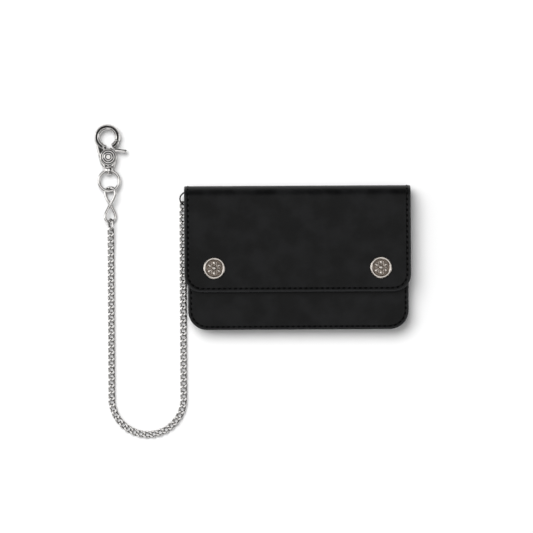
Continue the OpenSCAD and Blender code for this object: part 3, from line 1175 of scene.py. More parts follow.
@dataclass(frozen=True)
class Metal:
    """Plated metal with smudges, fine scratches and tarnish in its hollows.

    Attributes:
        name: The material's name.
        colour: The plating.
        tarnish: Colour of the tarnish, also painted into the hollows of the chain and hook as shade.
        bright: Roughness where it is polished.
        dull: Roughness where it is touched.
        age: How much tarnish there is outside the hollows, 0 to 1.
        grit: Depth of the scratches and casting skin in millimetres.
        hollows: Whether the mesh holds a "hollow" value.
    """

    name: str
    colour: Colour
    tarnish: Colour
    bright: float = 0.14
    dull: float = 0.3
    age: float = 0.1
    grit: float = 0.004
    hollows: bool = False

    def build(self, groups: Groups) -> bpy.types.Material:
        """Builds the material.

        Args:
            groups: The shared node groups.

        Returns:
            The material, which reads a "hollow" value if the mesh holds one.
        """
        material, tree, shader = started(self.name)
        place = in_place(tree)
        marks = tree.group(groups.handling, Vector=place, Smudge_mm=3.0, Scratch_mm=0.16)
        cloud = tree.noise(tree.in_mm(place), 0.45, 5.0)
        stain_and_shade = tree.between(cloud, 0.5, 0.72, 0.0, self.age)
        # The "hollow" value brings in the tarnish colour: real patina on the caps, painted shade on the chain
        # and hook.
        if self.hollows:
            wander = tree.times(tree.minus(cloud, 0.5), 0.5)
            ragged = tree.plus(mask(tree, "hollow"), wander)
            stain_and_shade = tree.sum("MAXIMUM", stain_and_shade, tree.between(ragged, 0.35, 0.85, 0.0, 0.92))
        tree.feed(shader.inputs["Base Color"], tree.mix(stain_and_shade, self.colour, self.tarnish))
        tree.feed(shader.inputs["Metallic"], tree.between(stain_and_shade, 0.0, 1.0, 1.0, 0.8))
        rough = tree.between(marks.outputs["Smudge"], 0.0, 1.0, self.bright, self.dull)
        rough = tree.plus(rough, tree.times(stain_and_shade, 0.25))
        rough = tree.plus(rough, tree.times(marks.outputs["Scratch"], 0.08))
        tree.feed(shader.inputs["Roughness"], rough)
        skin = tree.noise(place, 2200.0, 2.0)
        high = tree.minus(tree.times(skin, 0.4), marks.outputs["Scratch"])
        raised(tree, shader, high, self.grit)
        return material


class Finishes:
    """Every finish of the wallet, built once."""

    def __init__(self) -> None:
        """Builds the shared groups and then each material."""
        groups = Groups()
        black = grey(0.0036, -0.03)
        scuffed = grey(0.05, 0.06)
        self.shell = Leather("waxed black leather", black, scuffed).build(groups)
        self.body = Leather(
            "waxed black body leather", black, scuffed, line=1.0, channel=2.1).build(groups)
        self.lining = Leather(
            "skived lining leather", grey(0.028, 0.08), grey(0.07, 0.1), pebble=0.35, relief=0.02,
            smooth=0.55, dull=0.72, tooling=0.0, wax=0.0,
            dry=grey(0.04, 0.08)).build(groups)
        self.edge = EdgePaint("burnished edge", grey(0.008), grey(0.035, 0.12)).build(groups)
        self.thread = Thread("waxed black thread", grey(0.0022), 0.8, 0.07).build()
        # The needle holes are painted near-black as the shade inside them.
        self.hole = Thread("needle hole", grey(0.0012), 0.9, 0.0).build()
        self.tape = Cloth("zip tape", grey(0.012)).build(groups)
        steel = grey(0.74, 0.03)
        self.zip = Metal("zip nickel", steel, grey(0.12, 0.2), age=0.25).build(groups)
        self.cap = Metal(
            "aged nickel", grey(0.72, 0.08), (0.17, 0.13, 0.10, 1.0), bright=0.2, dull=0.32, age=0.1,
            grit=0.003, hollows=True).build(groups)
        self.snap = Metal("snap nickel", steel, grey(0.15, 0.15), bright=0.18, age=0.2).build(groups)
        self.ring = Metal("black nickel", grey(0.045, 0.04), grey(0.015), bright=0.2, age=0.4).build(groups)
        # The chain's warm dark tarnish colour is painted shade in its links' hollows and undersides.
        self.chain = Metal(
            "chain nickel", grey(0.9, 0.02), grey(0.026, 0.2), bright=0.08, dull=0.16, age=0.08, grit=0.002,
            hollows=True).build(groups)
        # The hook's dark tarnish colour is painted shade in its grooves, undersides and slot.
        self.hook = Metal(
            "hook nickel", grey(0.84, 0.02), grey(0.02, 0.1), bright=0.06, dull=0.14, age=0.06, grit=0.002,
            hollows=True).build(groups)


# ---- the leather ----------------------------------------------------------------------------


@dataclass
class Shell:
    """The outer leather: one sheet from the back's lower edge, round the fold, to the flap's.

    A place on the sheet is (x, v), where v is the way along its middle: over the back, round
    the half circle of the fold, and down the flap.

    Attributes:
        finishes: The materials.
        height: Height of the wallet.
        thickness: Thickness of the closed wallet.
        leather: Thickness of the leather.
        body: Left and right side of the back.
        flap: Left and right side of the flap.
        flap_height: Height of the flap.
        body_corner: Radius of the back's lower corners.
        flap_corner: Radius of the flap's lower corners.
        lift: How far the corner at the ring is lifted.
        eyelet: Middle of the eyelet.
        eyelet_radius: Radius of the hole for it.
        inset: Distance of the flap's seam from its edge.
        pitch: Distance between needle holes.
        thread: Thread diameter.
        snap: Distance of the snaps from the middle, and their height on the wallet.
    """

    finishes: Finishes
    height: float = 98.6
    thickness: float = 17.6
    leather: float = 1.8
    body: tuple[float, float] = (-75.1, 75.9)
    flap: tuple[float, float] = (-77.5, 77.5)
    flap_height: float = 72.9
    body_corner: float = 13.2
    flap_corner: float = 12.0
    lift: float = 2.0
    eyelet: tuple[float, float] = (-67.57, 38.19)
    eyelet_radius: float = 3.0
    inset: float = 2.6
    pitch: float = 3.7
    thread: float = 1.15
    snap: tuple[float, float] = (57.0, -7.0)

    @property
    def radius(self) -> float:
        """Radius of the sheet's middle round the fold."""
        return (self.thickness - self.leather) / 2

    @property
    def fold_y(self) -> float:
        """Where the flat leather ends and the fold begins."""
        return self.height / 2 - self.thickness / 2

    @property
    def back_length(self) -> float:
        """Length of the flat back."""
        return self.fold_y + self.height / 2

    @property
    def turn_length(self) -> float:
        """Length of the sheet's middle round the fold."""
        return math.pi * self.radius

    @property
    def length(self) -> float:
        """Length of the whole sheet."""
        return self.back_length + self.turn_length + self.fold_y - self.height / 2 + self.flap_height

    def sides(self, v: Array) -> tuple[Array, Array]:
        """The sheet's sides; it widens over the first part of the fold.

        Args:
            v: Ways along.

        Returns:
            Its left and right side there.
        """
        share = smooth_rise(v, self.back_length - 2, self.back_length + 9)
        left = self.body[0] + (self.flap[0] - self.body[0]) * share
        right = self.body[1] + (self.flap[1] - self.body[1]) * share
        return left, right

    def edge(self, x: Array, v: Array) -> Array:
        """Distance from a place to the sheet's outline, with round corners at both ends.

        Args:
            x: Places across.
            v: Ways along.

        Returns:
            The distances, at least 0.
        """
        left, right = self.sides(v)
        dx = np.minimum(x - left, right - x)
        low = v < self.length / 2
        dv = np.where(low, v, self.length - v)
        r = np.where(low, self.body_corner, self.flap_corner)
        d = np.where((dx < r) & (dv < r), r - np.hypot(r - dx, r - dv), np.minimum(dx, dv))
        return np.clip(d, 0, None)

    def dip(self, x: Array, v: Array) -> Array:
        """How far the sheet stands off its plain form, towards the inside of the fold.

        The lifted corner is a product of smooth rises; the flap has soft waves and a shallow
        ring pressed in round each snap.

        Args:
            x: Places across.
            v: Ways along.

        Returns:
            How far each place stands off.
        """
        y = v - self.height / 2
        corner = self.lift * smooth_rise(x, -56.5, -63.5) * smooth_rise(y, 28, 33.5) * (
            1 - smooth_rise(y, 42.5, 50))
        far = self.back_length + self.turn_length
        flat = smooth_rise(v, far - 6, far + 10) * smooth_rise(self.edge(x, v), 0, 14)
        w = v - far
        waves = np.sin(x / 21 + 0.9) * np.sin(w / 17 + 0.3) + 0.7 * np.sin(x / 37 + w / 19)
        snap_x, snap_v = self.snap[0], far + self.fold_y - self.snap[1]
        near = np.minimum(np.hypot(x - snap_x, v - snap_v), np.hypot(x + snap_x, v - snap_v))
        return corner + flat * 0.10 * waves + 0.12 * smooth_rise(near, 13, 7.4) * flat

    def place(self, x: Array, v: Array) -> tuple[Array, Array]:
        """Middle point and inward direction at places on the sheet.

        Args:
            x: Places across.
            v: Ways along.

        Returns:
            Points and directions, each with x, y and z last.
        """
        a = np.clip((v - self.back_length) / self.radius, 0, math.pi) - math.pi / 2
        before = np.minimum(v - self.back_length, 0)
        after = np.maximum(v - self.back_length - self.turn_length, 0)
        y = self.fold_y + self.radius * np.cos(a) + before - after
        z = self.thickness / 2 + self.radius * np.sin(a)
        inward = np.stack(np.broadcast_arrays(0.0 * x, -np.cos(a), -np.sin(a)), -1)
        point = np.stack(np.broadcast_arrays(x, y, z), -1) + inward * self.dip(x, v)[..., None]
        return point, inward

    def grid(self) -> tuple[Array, Array, list[int]]:
        """The sheet's grid, finer round the fold and at the edges.

        Returns:
            Places across and ways along of its points, and the rows where one piece ends and
            the next begins.
        """
        quarter = self.back_length + self.turn_length / 4
        three = self.back_length + self.turn_length * 3 / 4
        rows = np.concatenate([
            CORNER_STEPS, spread(CORNER_STEPS[-1], 75, 3.5), [75], spread(75, quarter - 0.12, 0.75),
            [quarter - 0.12, quarter, quarter + 0.12], spread(quarter + 0.12, three - 0.12, 0.6),
            [three - 0.12, three, three + 0.12], spread(three + 0.12, three + 12, 0.6), [three + 12],
            spread(three + 12, self.length - CORNER_STEPS[-1], 2.5), self.length - CORNER_STEPS[::-1]])
        left, right = self.sides(rows)
        r = np.where(rows < self.length / 2, self.body_corner, self.flap_corner)
        t = np.clip(np.minimum(rows, self.length - rows), 0, r)
        cut = r - np.sqrt(np.clip(r**2 - (r - t) ** 2, 0, None))
        near = np.concatenate([RIM_STEPS[:-3], np.arange(3.0, 21.1, 0.6)])
        width = (right - left - 2 * cut)[:, None]
        share = spread(0, 1, 1 / 38)[None, :]
        inner = near[-1] + share * (width - near[-1] - RIM_STEPS[-1])
        across = np.concatenate([
            np.broadcast_to(near, (len(rows), len(near))), inner, width - RIM_STEPS[::-1]], 1)
        x = (left + cut)[:, None] + across
        v = np.broadcast_to(rows[:, None], x.shape)
        marks = [int(np.abs(rows - q).argmin()) for q in (quarter, three)]
        return x, v, marks

    def seam(self, first: float, last: float) -> tuple[Surface, Surface]:
        """Stitches along the flap's sides and free edge whose holes lie between two ways along.

        Args:
            first: Least way along.
            last: Greatest way along.

        Returns:
            The threads and the holes.
        """
        top = self.length - (self.back_length + self.turn_length * 0.36)
        outline = Outline(self.flap[0], self.flap[1], 0, top, self.flap_corner)
        places = outline.seam(self.inset, self.pitch, top)
        v = self.length - places[:, 1]
        middle, inward = self.place(places[:, 0], v)
        skin = middle - inward * (self.leather / 2 - 0.05)
        mid_v = (v[:-1] + v[1:]) / 2
        pick = (mid_v >= first) & (mid_v < last)
        start, end = skin[:-1][pick], skin[1:][pick]
        gap = (end - start) * STITCH_GAP
        return stitches(start + gap, end - gap, -inward[:-1][pick], self.thread, 0.3)

    def build(self) -> None:
        """Builds the three pieces of the sheet and their seams."""
        x, v, marks = self.grid()
        middle, inward = self.place(x, v)
        hole = np.hypot(x - self.eyelet[0], v - self.height / 2 - self.eyelet[1])
        centre = (hole[:-1, :-1] + hole[1:, 1:] + hole[:-1, 1:] + hole[1:, :-1]) / 4
        keep = centre > self.eyelet_radius + 0.15
        round_cells = np.pad(keep, 1, constant_values=True).astype(int)
        near = round_cells[:-1, :-1] + round_cells[1:, 1:] + round_cells[:-1, 1:] + round_cells[1:, :-1]
        rim = (near < 4) & (near > 0)
        share = np.where(rim, (self.eyelet_radius + 0.1) / np.maximum(hole, 0.1), 1.0)
        middle[..., 0] = self.eyelet[0] + (middle[..., 0] - self.eyelet[0]) * share
        middle[..., 1] = self.eyelet[1] + (middle[..., 1] - self.eyelet[1]) * share
        edge = self.edge(x, v)
        half = rounded_half(edge, self.leather, ROUNDING)
        row = np.arange(len(keep))[:, None]
        mid_z = self.thickness / 2
        reach = self.radius * math.cos(math.pi / 4)
        crown = self.fold_y + reach - 0.9
        stretches = (
            ("back_leather", row < marks[0], ("back_panel",),
             Bend("pockets", "fold_lower", (0, 35.5, 0), (0, crown, 0)), None),
            ("fold_leather", (row >= marks[0]) & (row < marks[1]), ("spine_lower", "spine_upper"),
             Bend("fold_lower", "fold_upper", (0, 0, mid_z - reach + 0.9), (0, 0, mid_z + reach - 0.9)),
             (v[marks[0], 0], v[marks[1], 0])),
            ("flap_leather", row >= marks[1], ("flap_outer",),
             Bend("fold_upper", "flap", (0, crown, 0), (0, 35.5, 0)), (v[marks[1], 0], self.length)))
        for name, rows, nodes, bend, seam in stretches:
            sheet = slab(middle, inward, half, keep & rows, {"edge": edge, "u": x, "v": v})
            dressed(name, sheet, self.finishes.shell, bend, nodes)
            if seam:
                threads, holes = self.seam(*seam)
                dressed(name + "_stitches", threads, self.finishes.thread, bend)
                dressed(name + "_needle_holes", holes, self.finishes.hole, bend)


@dataclass
class Pockets:
    """What lies between the back and the flap: front, walls, divider, coin pocket and slots.

    Attributes:
        finishes: The materials.
        sides: Left and right side of the body.
        bottom: Its lower edge.
        corner: Radius of its lower corners.
        wall: Width of the stacked edge.
        leather: Thickness of the shell leather.
        front_low: Height of the front panel's lower face.
        front_top: Upper edge of the front panel.
        layers: Number of layers that the stacked edge shows.
        inset: Distance of the body's seam from its edge.
        pitch: Distance between needle holes.
        thread: Thread diameter.
    """

    finishes: Finishes
    sides: tuple[float, float] = (-75.1, 75.9)
    bottom: float = -49.3
    corner: float = 13.2
    wall: float = 2.6
    leather: float = 1.8
    front_low: float = 11.2
    front_top: float = 28.0
    layers: int = 6
    inset: float = 2.1
    pitch: float = 3.7
    thread: float = 1.1

    def outline(self, inset: float, top: float) -> Outline:
        """The body's outline, moved in by an inset, up to a height."""
        return Outline(
            self.sides[0] + inset, self.sides[1] - inset, self.bottom + inset, top, self.corner - inset)

    def stacked_edge(self) -> Surface:
        """The wall of stacked layers: each bulges as a half ellipse, along the outline.

        Returns:
            A band, open at the top, whose "seam" is 1 in the joints.
        """
        low, high = self.leather - 0.1, self.front_low + 0.1
        f = np.linspace(0, 1, self.layers * 8 + 1)
        phase = (f * self.layers) % 1
        bulge = np.sqrt(np.clip(1 - (2 * phase - 1) ** 2, 0, 1))
        outer = np.stack([0.42 * (1 - bulge), low + f * (high - low)], 1)
        section = np.vstack([outer, [self.wall, high], [self.wall, low]])
        a = np.radians(np.linspace(180, 270, 33))
        centre = np.array([self.sides[0] + self.corner, self.bottom + self.corner])
        arc = centre + self.corner * np.stack([np.cos(a), np.sin(a)], 1)
        down = np.stack([np.full(13, self.sides[0]), np.linspace(self.front_top, centre[1], 14)[:-1]], 1)
        half = np.vstack([down, arc])
        mirror = half[::-1] * [-1, 1] + [sum(self.sides), 0]
        floor = np.linspace(half[-1], mirror[0], 26)[1:-1]
        path = np.vstack([half, floor, mirror])
        along = unit(np.gradient(path, axis=0))
        inward = np.stack([-along[:, 1], along[:, 0]], 1)
        points = np.concatenate([
            path[:, None] + inward[:, None] * section[None, :, :1],
            np.broadcast_to(section[None, :, 1:], (len(path), len(section), 1))], 2)
        seam = np.append(np.clip(1 - bulge * 1.6, 0, 1), [0, 0])
        faces = [f[::-1] for f in grid_faces(len(path), len(section), False)]
        return Surface(points.reshape(-1, 3), faces, None, {"seam": np.tile(seam, len(path))})

    def seam(self, high: float, up: float, top: float) -> tuple[Surface, Surface]:
        """Stitches round the body at one level.

        Args:
            high: Height of the leather's face.
            up: 1 on the front, -1 on the back.
            top: Height on the wallet where the seam starts and ends.

        Returns:
            The threads and the holes.
        """
        places = self.outline(0, top).seam(self.inset, self.pitch, top)
        skin = np.column_stack([places, np.full(len(places), high)])
        gap = np.diff(skin, axis=0) * STITCH_GAP
        out = np.tile([0.0, 0.0, up], (len(gap), 1))
        return stitches(skin[:-1] + gap, skin[1:] - gap, out, self.thread, 0.3)

    def build(self) -> None:
        """Builds the panels, the stacked edge and the seams."""
        f = self.finishes
        front = Panel(self.outline(0, self.front_top), self.front_low, self.leather, swell=0.08)
        dressed("front_leather", front.surface(), f.body, "pockets", ("front_panel",))
        dressed("stacked_edge", self.stacked_edge(), f.edge, "pockets",
                ("wall_left", "wall_right", "wall_bottom"), weld=True, sharp=35)
        notch = (-57.5, 28.0)
        inner = (
            ("bill_divider_leather", "bill_divider", 2.4, 1.2, 34.0, 0.2, notch),
            ("coin_pocket_back_leather", "coin_pocket_back", 4.1, 0.9, 22.0, 0.5, None),
            ("coin_pocket_front_leather", "coin_pocket_front", 8.2, 0.9, 22.0, 0.5, None))
        for name, node, low, thick, top, gap, cut in inner:
            panel = Panel(self.outline(self.wall + gap, top), low, thick, cut)
            dressed(name, panel.surface(), f.lining, "pockets", (node,))
        for step in range(3):
            slot = Outline(-48, 48, -42, 18 - 8 * step, 3)
            panel = Panel(slot, 9.15 + 0.65 * step, 0.6)
            dressed(f"card_slot_leather_{step + 1}", panel.surface(), f.lining, "pockets",
                    (f"card_slot_{step + 1}",))
        lining = Outline(-77.2, 77.2, -23.3, 38.5, 12)
        dressed("flap_lining_leather", Panel(lining, 14.8, 1.0).surface(), f.lining, "flap",
                ("flap_lining",))
        for name, high, up, top in (("front", 12.97, 1.0, 26.0), ("back", 0.05, -1.0, 24.0)):
            threads, holes = self.seam(high, up, top)
            if up < 0:
                threads.points[:, 2] = np.maximum(threads.points[:, 2], 0.0)
                holes.points[:, 2] = np.maximum(holes.points[:, 2], 0.01)
            dressed(name + "_stitches", threads, f.thread, "pockets")
            dressed(name + "_needle_holes", holes, f.hole, "pockets")


# ---- fastenings -----------------------------------------------------------------------------


@dataclass
class Snaps:
    """Two snaps: caps with a rolled rim and a petal rosette, sockets, studs and posts.

    Attributes:
        finishes: The materials.
        at: Distance from the middle, and height on the wallet.
        radius: Radius of a cap.
        cap_low: Height of the flap's upper face.
        lining_low: Height of the lining's lower face.
        front: Lower and upper face of the front panel.
        petals: Petals of the rosette.
    """

    finishes: Finishes
    at: tuple[float, float] = (57.0, -7.0)
    radius: float = 7.5
    cap_low: float = 17.6
    lining_low: float = 14.8
    front: tuple[float, float] = (11.2, 13.0)
    petals: int = 6

    def cap(self) -> Surface:
        """A cap on a polar grid.

        Its height is the rim's roll, a bell at 6.6 mm, over a sunk field, plus petals whose
        outlines stand up as bells where the angle inside a petal equals its half width, which
        is a half sine of the radius, plus a domed boss in the middle.

        Returns:
            The cap, round the origin, whose "hollow" is 1 in its sunk field.
        """
        r = np.concatenate([np.linspace(0, 6.2, 52), np.linspace(6.26, self.radius, 18)])
        a = np.linspace(0, 2 * np.pi, 192, endpoint=False)
        rr, aa = np.meshgrid(r, a, indexing="ij")
        roll = np.sqrt(np.clip(1 - ((rr - 6.55) / 0.98) ** 2, 0, 1))
        turn = abs(((aa * self.petals / (2 * np.pi)) % 1 - 0.5) * 2)
        share = np.clip((rr - 1.7) / 3.7, 0, 1)
        width = np.sin(np.pi * share) ** 0.75 * 0.86
        arc = (turn - width) * np.pi * rr / self.petals
        line = np.exp(-((arc / 0.27) ** 2)) * (share > 0) * (share < 1)
        inside = smooth_rise(width - turn, 0.2, 0.75) * 0.45
        boss = np.sqrt(np.clip(1 - (rr / 1.45) ** 2, 0, 1))
        field = 0.72 + 0.22 * (1 - (rr / 6) ** 2)
        relief = np.maximum.reduce([line * 0.5, inside, boss * 0.9])
        high = np.where(rr < 5.6, field + relief, 0.0)
        high = np.maximum(high, np.where(rr > 5.5, 0.62 + roll * 0.88, 0.0))
        high = np.where(rr > self.radius - 0.02, 0.18, high)
        hollow = np.clip(1 - np.maximum(relief / 0.5, (rr > 5.75) * 1.0), 0, 1)
        hollow = np.maximum(hollow, bump_at(rr, 5.68, 0.2))
        top = np.stack([rr * np.cos(aa), rr * np.sin(aa), high], -1).reshape(-1, 3)
        skirt = [(self.radius - 0.08, 0.05), (self.radius - 0.4, 0.0), (1.7, 0.0), (1.7, -3.0), (0.0, -3.0)]
        low = np.array([(q * math.cos(t), q * math.sin(t), h) for q, h in skirt for t in a])
        points = np.vstack([top, low])
        masks = {"hollow": np.concatenate([hollow.reshape(-1), np.full(len(low), 0.5)])}
        return Surface(points, grid_faces(len(r) + len(skirt), len(a), False)[:-2], None, masks)

    def build(self) -> None:
        """Builds both snaps."""
        socket = [(1.75, 0.5), (2.5, 0.5), (2.5, 0.08), (2.75, 0.0), (4.9, 0.0), (5.2, 0.3), (5.2, 1.0),
                  (5.0, 1.2), (1.75, 1.2), (1.75, 0.5)]
        stud = [(0.0, 0.7), (1.6, 0.7), (1.65, 0.02), (4.4, 0.0), (4.6, 0.15), (4.4, 0.34), (2.5, 0.35),
                (2.0, 0.5), (2.12, 0.9), (1.9, 1.2), (0.0, 1.22)]
        post = [(0.0, -0.7), (3.7, -0.7), (4.0, -0.45), (3.9, -0.05), (1.8, 0.0), (1.6, 0.1), (1.6, 2.3),
                (1.3, 2.4), (0.0, 2.4)]
        for side in Side:
            x, y = side.value * self.at[0], self.at[1]
            word = side.name.lower()
            f = self.finishes
            pieces = (
                ("cap", self.cap(), f.cap, self.cap_low, "flap"),
                ("socket", revolved(socket, 48, 0), f.snap, self.lining_low - 1.2, "flap"),
                ("stud", revolved(stud, 48), f.snap, self.front[1], "pockets"),
                ("post", revolved(post, 40), f.snap, self.front[0], "pockets"))
            for kind, surface, finish, z, body in pieces:
                dressed(f"{kind}_{word}", placed(surface, (x, y, z)), finish, body,
                        (f"snap_{kind}_{word}",), weld=True, sharp=60)


@dataclass
class CoinZip:
    """The coin pocket's zip: two woven tapes, cast teeth, a slider and its pull.

    Attributes:
        finishes: The materials.
        length: Length of the tapes.
        y: Height of the pocket's mouth.
        z: Level between the tapes.
        pitch: Distance between teeth.
    """

    finishes: Finishes
    length: float = 118.0
    y: float = 22.0
    z: float = 6.6
    pitch: float = 2.0

    def tape(self, side: Side) -> Surface:
        """One tape, swept along X, with a rolled bead on its edge.

        Args:
            side: Which of the two: above or below the slider.

        Returns:
            The tape.
        """
        out = side.value
        section = np.array([[-4, 0], [0.9, 0], [1.2, -0.02], [1.6, 0.02], [1.6, 0.5], [1.2, 0.54], [0.9, 0.5],
                            [-4, 0.5]])
        section = section * [1, out] + [self.y, self.z + out * 1.1]
        x = np.linspace(-self.length / 2, self.length / 2, 60)
        path = np.column_stack([x, 0 * x, 0 * x])
        across = np.tile([0.0, 1.0, 0.0], (len(x), 1))
        made = swept(path, across, section if out > 0 else section[::-1], False)
        made.uv = np.column_stack([made.points[:, 0], made.points[:, 1]])
        return made

    def teeth(self) -> Surface:
        """The teeth of both tapes: small blocks, each a superellipse in five sizes along y.

        Returns:
            All the teeth.
        """
        first = np.arange(-self.length / 2 + 1, self.length / 2 - 0.99, self.pitch)
        ring = oval_section(0.5, 0.275, 8, 4)
        y = np.array([0.62, 0.75, 2.2, 2.65, 2.8])
        size = np.array([0.8, 1.0, 1.0, 0.85, 0.5])
        one = np.stack(np.broadcast_arrays(
            ring[None, :, 0] * size[:, None], self.y + y[:, None], -ring[None, :, 1] * size[:, None]), -1)
        parts = []
        for side in Side:
            x = first + (self.pitch / 2 if side is Side.RIGHT else 0)
            z = self.z + side.value * 0.775
            move = np.stack([x, 0 * x, 0 * x + z], 1)
            points = (one[None] + move[:, None, None]).reshape(-1, 3)
            faces = [f for n in range(len(x)) for f in grid_faces(5, 8, False, n * 40)]
            parts.append(Surface(points, faces))
        return joined(parts)

    def build(self) -> None:
        """Builds the zip."""
        f = self.finishes
        tapes = joined([self.tape(side) for side in Side])
        dressed("woven_tapes", tapes, f.tape, "pockets", ("zip_tapes",))
        dressed("cast_teeth", self.teeth(), f.zip, "pockets", ("zip_teeth",))
        softened("slider_casting", "zip_slider", 0.16, f.zip, "slider")
        softened("pull_tab", "zip_pull", 0.2, f.zip, "pull")


# ---- ring and chain -------------------------------------------------------------------------


@dataclass
class WalletRing:
    """The eyelet in the lifted corner and the ring through it.

    Attributes:
        finishes: The materials.
        eyelet: Middle of the eyelet's lower rim.
        ring: Middle of the ring.
        radius: Radius of the ring at the middle of its wire.
        wire: Radius of the wire.
        tilt: Turn of the ring about X.
    """

    finishes: Finishes
    eyelet: tuple[float, float, float] = (-67.57, 38.19, 2.0)
    ring: tuple[float, float, float] = (-73.6, 40.6, 4.92)
    radius: float = 6.8
    wire: float = 0.5
    tilt: float = 40.0

    def build(self) -> None:
        """Builds the eyelet and the ring."""
        flange = [(2.62, 0.02), (3.0, 0.0), (3.0, 1.8), (3.75, 1.8), (3.9, 1.92), (3.8, 2.08), (3.2, 2.15),
                  (2.8, 2.1), (2.62, 1.85), (2.62, 0.02)]
        hoop = placed(revolved(flange, 56, 0), self.eyelet)
        dressed("rolled_eyelet", hoop, self.finishes.ring, "pockets", ("eyelet",), weld=True)
        a = np.linspace(0, 2 * np.pi, 96, endpoint=False)
        path = self.radius * np.stack([np.cos(a), np.sin(a), 0 * a], 1)
        ring = swept(path, path, oval_section(self.wire, self.wire, 14), True)
        dressed("split_ring", placed(ring, self.ring, self.tilt), self.finishes.ring, "ring",
                ("wallet_ring",))


@dataclass
class Chain:
    """The curb chain and the oval links at its ends.

    Attributes:
        finishes: The materials.
        x: Where the first run lies.
        top: Where the chain starts.
        bend_y: Where the bend begins.
        bend: Radius of the bend.
        level: Height of the chain's middle.
        rise: How far its end rises, and over which length.
        pitch: Distance between links.
        lengths: Number of lengths that bend as one, and links in each.
        wire: Diameter of the curb links' wire.
        oval_wire: Diameter of the oval links' wire.
        size: Length and width of a link at the middle of its wire.
        twist: Twist of each half link.
        flat: Half the thickness to which the curb links are pressed.
    """

    finishes: Finishes
    x: float = -78.6
    top: float = 31.25
    bend_y: float = -96.1
    bend: float = 24.7
    level: float = 1.42
    rise: tuple[float, float] = (1.48, 22.0)
    pitch: float = 4.5
    lengths: tuple[int, int] = (12, 6)
    wire: float = 1.34
    oval_wire: float = 1.2
    size: tuple[float, float] = (5.96, 3.68)
    twist: float = 56.0
    flat: float = 1.28

    @property
    def total(self) -> float:
        """Length from the first link's middle to the last one's."""
        return (self.lengths[0] * self.lengths[1] - 1) * self.pitch

    def point(self, s: float) -> Array:
        """The chain's middle: straight down, round the bend, straight up.

        Args:
            s: Way along the chain from its first link.

        Returns:
            The point.
        """
        down = self.top - self.bend_y
        a = (s - down) / self.bend
        z = self.level + self.rise[0] * float(smooth_rise(s, self.total - self.rise[1], self.total))
        if s < down:
            return np.array([self.x, self.top - s, z])
        if a < math.pi:
            out, below = self.bend * (1 - math.cos(a)), self.bend * math.sin(a)
            return np.array([self.x - out, self.bend_y - below, z])
        return np.array([self.x - 2 * self.bend, self.bend_y + s - down - math.pi * self.bend, z])

    def heading(self, s: float) -> float:
        """The chain's heading after a way s, in degrees."""
        turn = min(max((s - self.top + self.bend_y) / self.bend, 0.0), math.pi)
        return -90 - math.degrees(turn)

    def link(
        self, length: float, width: float, wire: float, twist: float, rings: int = 32
    ) -> Surface:
        """One link: a squared oval, cos and sin to the power 0.85, twisted in proportion to x.

        Its "hollow" value, which the chain's finish paints dark as shade, is 1 on its lower half and on the
        inner side of its wire.

        Args:
            length: Length at the middle of the wire.
            width: Width at the middle of the wire.
            wire: Diameter of the wire.
            twist: Twist at each end in degrees.
            rings: Rings along the wire.

        Returns:
            The link along X, round the origin.
        """
        t = np.linspace(0, 2 * np.pi, rings, endpoint=False)
        c, s = np.cos(t), np.sin(t)
        x = length / 2 * np.sign(c) * abs(c) ** 0.85
        y = width / 2 * np.sign(s) * abs(s) ** 0.85
        a = np.radians(twist) * 2 * x / length
        made = wire_loop(np.stack([x, y * np.cos(a), y * np.sin(a)], 1), wire / 2, 12)
        made.points[:, 2] = np.clip(made.points[:, 2], -self.flat, self.flat)
        deep = smooth_rise(made.points[:, 2], 0.35, -0.55)
        inner = smooth_rise(abs(made.points[:, 1]), width / 2 - 0.15, width / 2 - 0.6)
        made.masks = {"hollow": np.maximum(deep, inner * smooth_rise(made.points[:, 2], 0.95, 0.2))}
        return made

    def laid(
        self, link: Surface, at: Array, heading: float, slope: float, roll: float = 0.0
    ) -> Surface:
        """Rolls a link about X, slopes it, turns it to its heading and puts it at its place.

        Args:
            link: The link.
            at: Its place.
            heading: Its heading in degrees.
            slope: How steeply it climbs, in degrees.
            roll: Its turn about its own length in degrees.

        Returns:
            The same link, moved.
        """
        points = turned(turned(turned(link.points, "X", roll), "Y", -slope), "Z", heading)
        link.points = points + at
        return link

    def build(self) -> None:
        """Builds every length and both end links."""
        number, links = self.lengths
        for n in range(number):
            parts = []
            for i in range(links):
                s = (n * links + i) * self.pitch
                climb = self.point(s + self.pitch / 2)[2] - self.point(s - self.pitch / 2)[2]
                slope = math.degrees(math.asin(climb / self.pitch))
                parts.append(self.laid(
                    self.link(*self.size, self.wire, self.twist), self.point(s), self.heading(s), slope))
            dressed(f"curb_links_{n + 1:02d}", joined(parts), self.finishes.chain,
                    f"length_{n + 1:02d}", (f"chain_{n + 1:02d}",))
        first = self.laid(
            self.link(5.95, 3.85, self.oval_wire, 15.0, 40), np.array([self.x, 35.75, 1.7]), -90, 0, 30)
        dressed("first_oval_link", first, self.finishes.chain, "start", ("start_link",))
        low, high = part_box("end_link")
        y0 = self.point(self.total)[1] + self.size[0] / 2 - 1.65
        y1 = Hook.eight_top - 2 * Hook.eight_half + 1.9
        slope = math.degrees(math.atan(0.4 / (y1 - y0)))
        last = self.laid(
            self.link(y1 - y0, 4.7, self.oval_wire, 10.0, 40),
            np.array([Hook.eight_x + 0.15, (y0 + y1) / 2, 3.1]), 90, slope, -50)
        LOG.info("end link: CAD %.2f to %.2f mm along y", low.y / MM, high.y / MM)
        dressed("last_oval_link", last, self.finishes.chain, "end", ("end_link",))


# ---- hook -----------------------------------------------------------------------------------


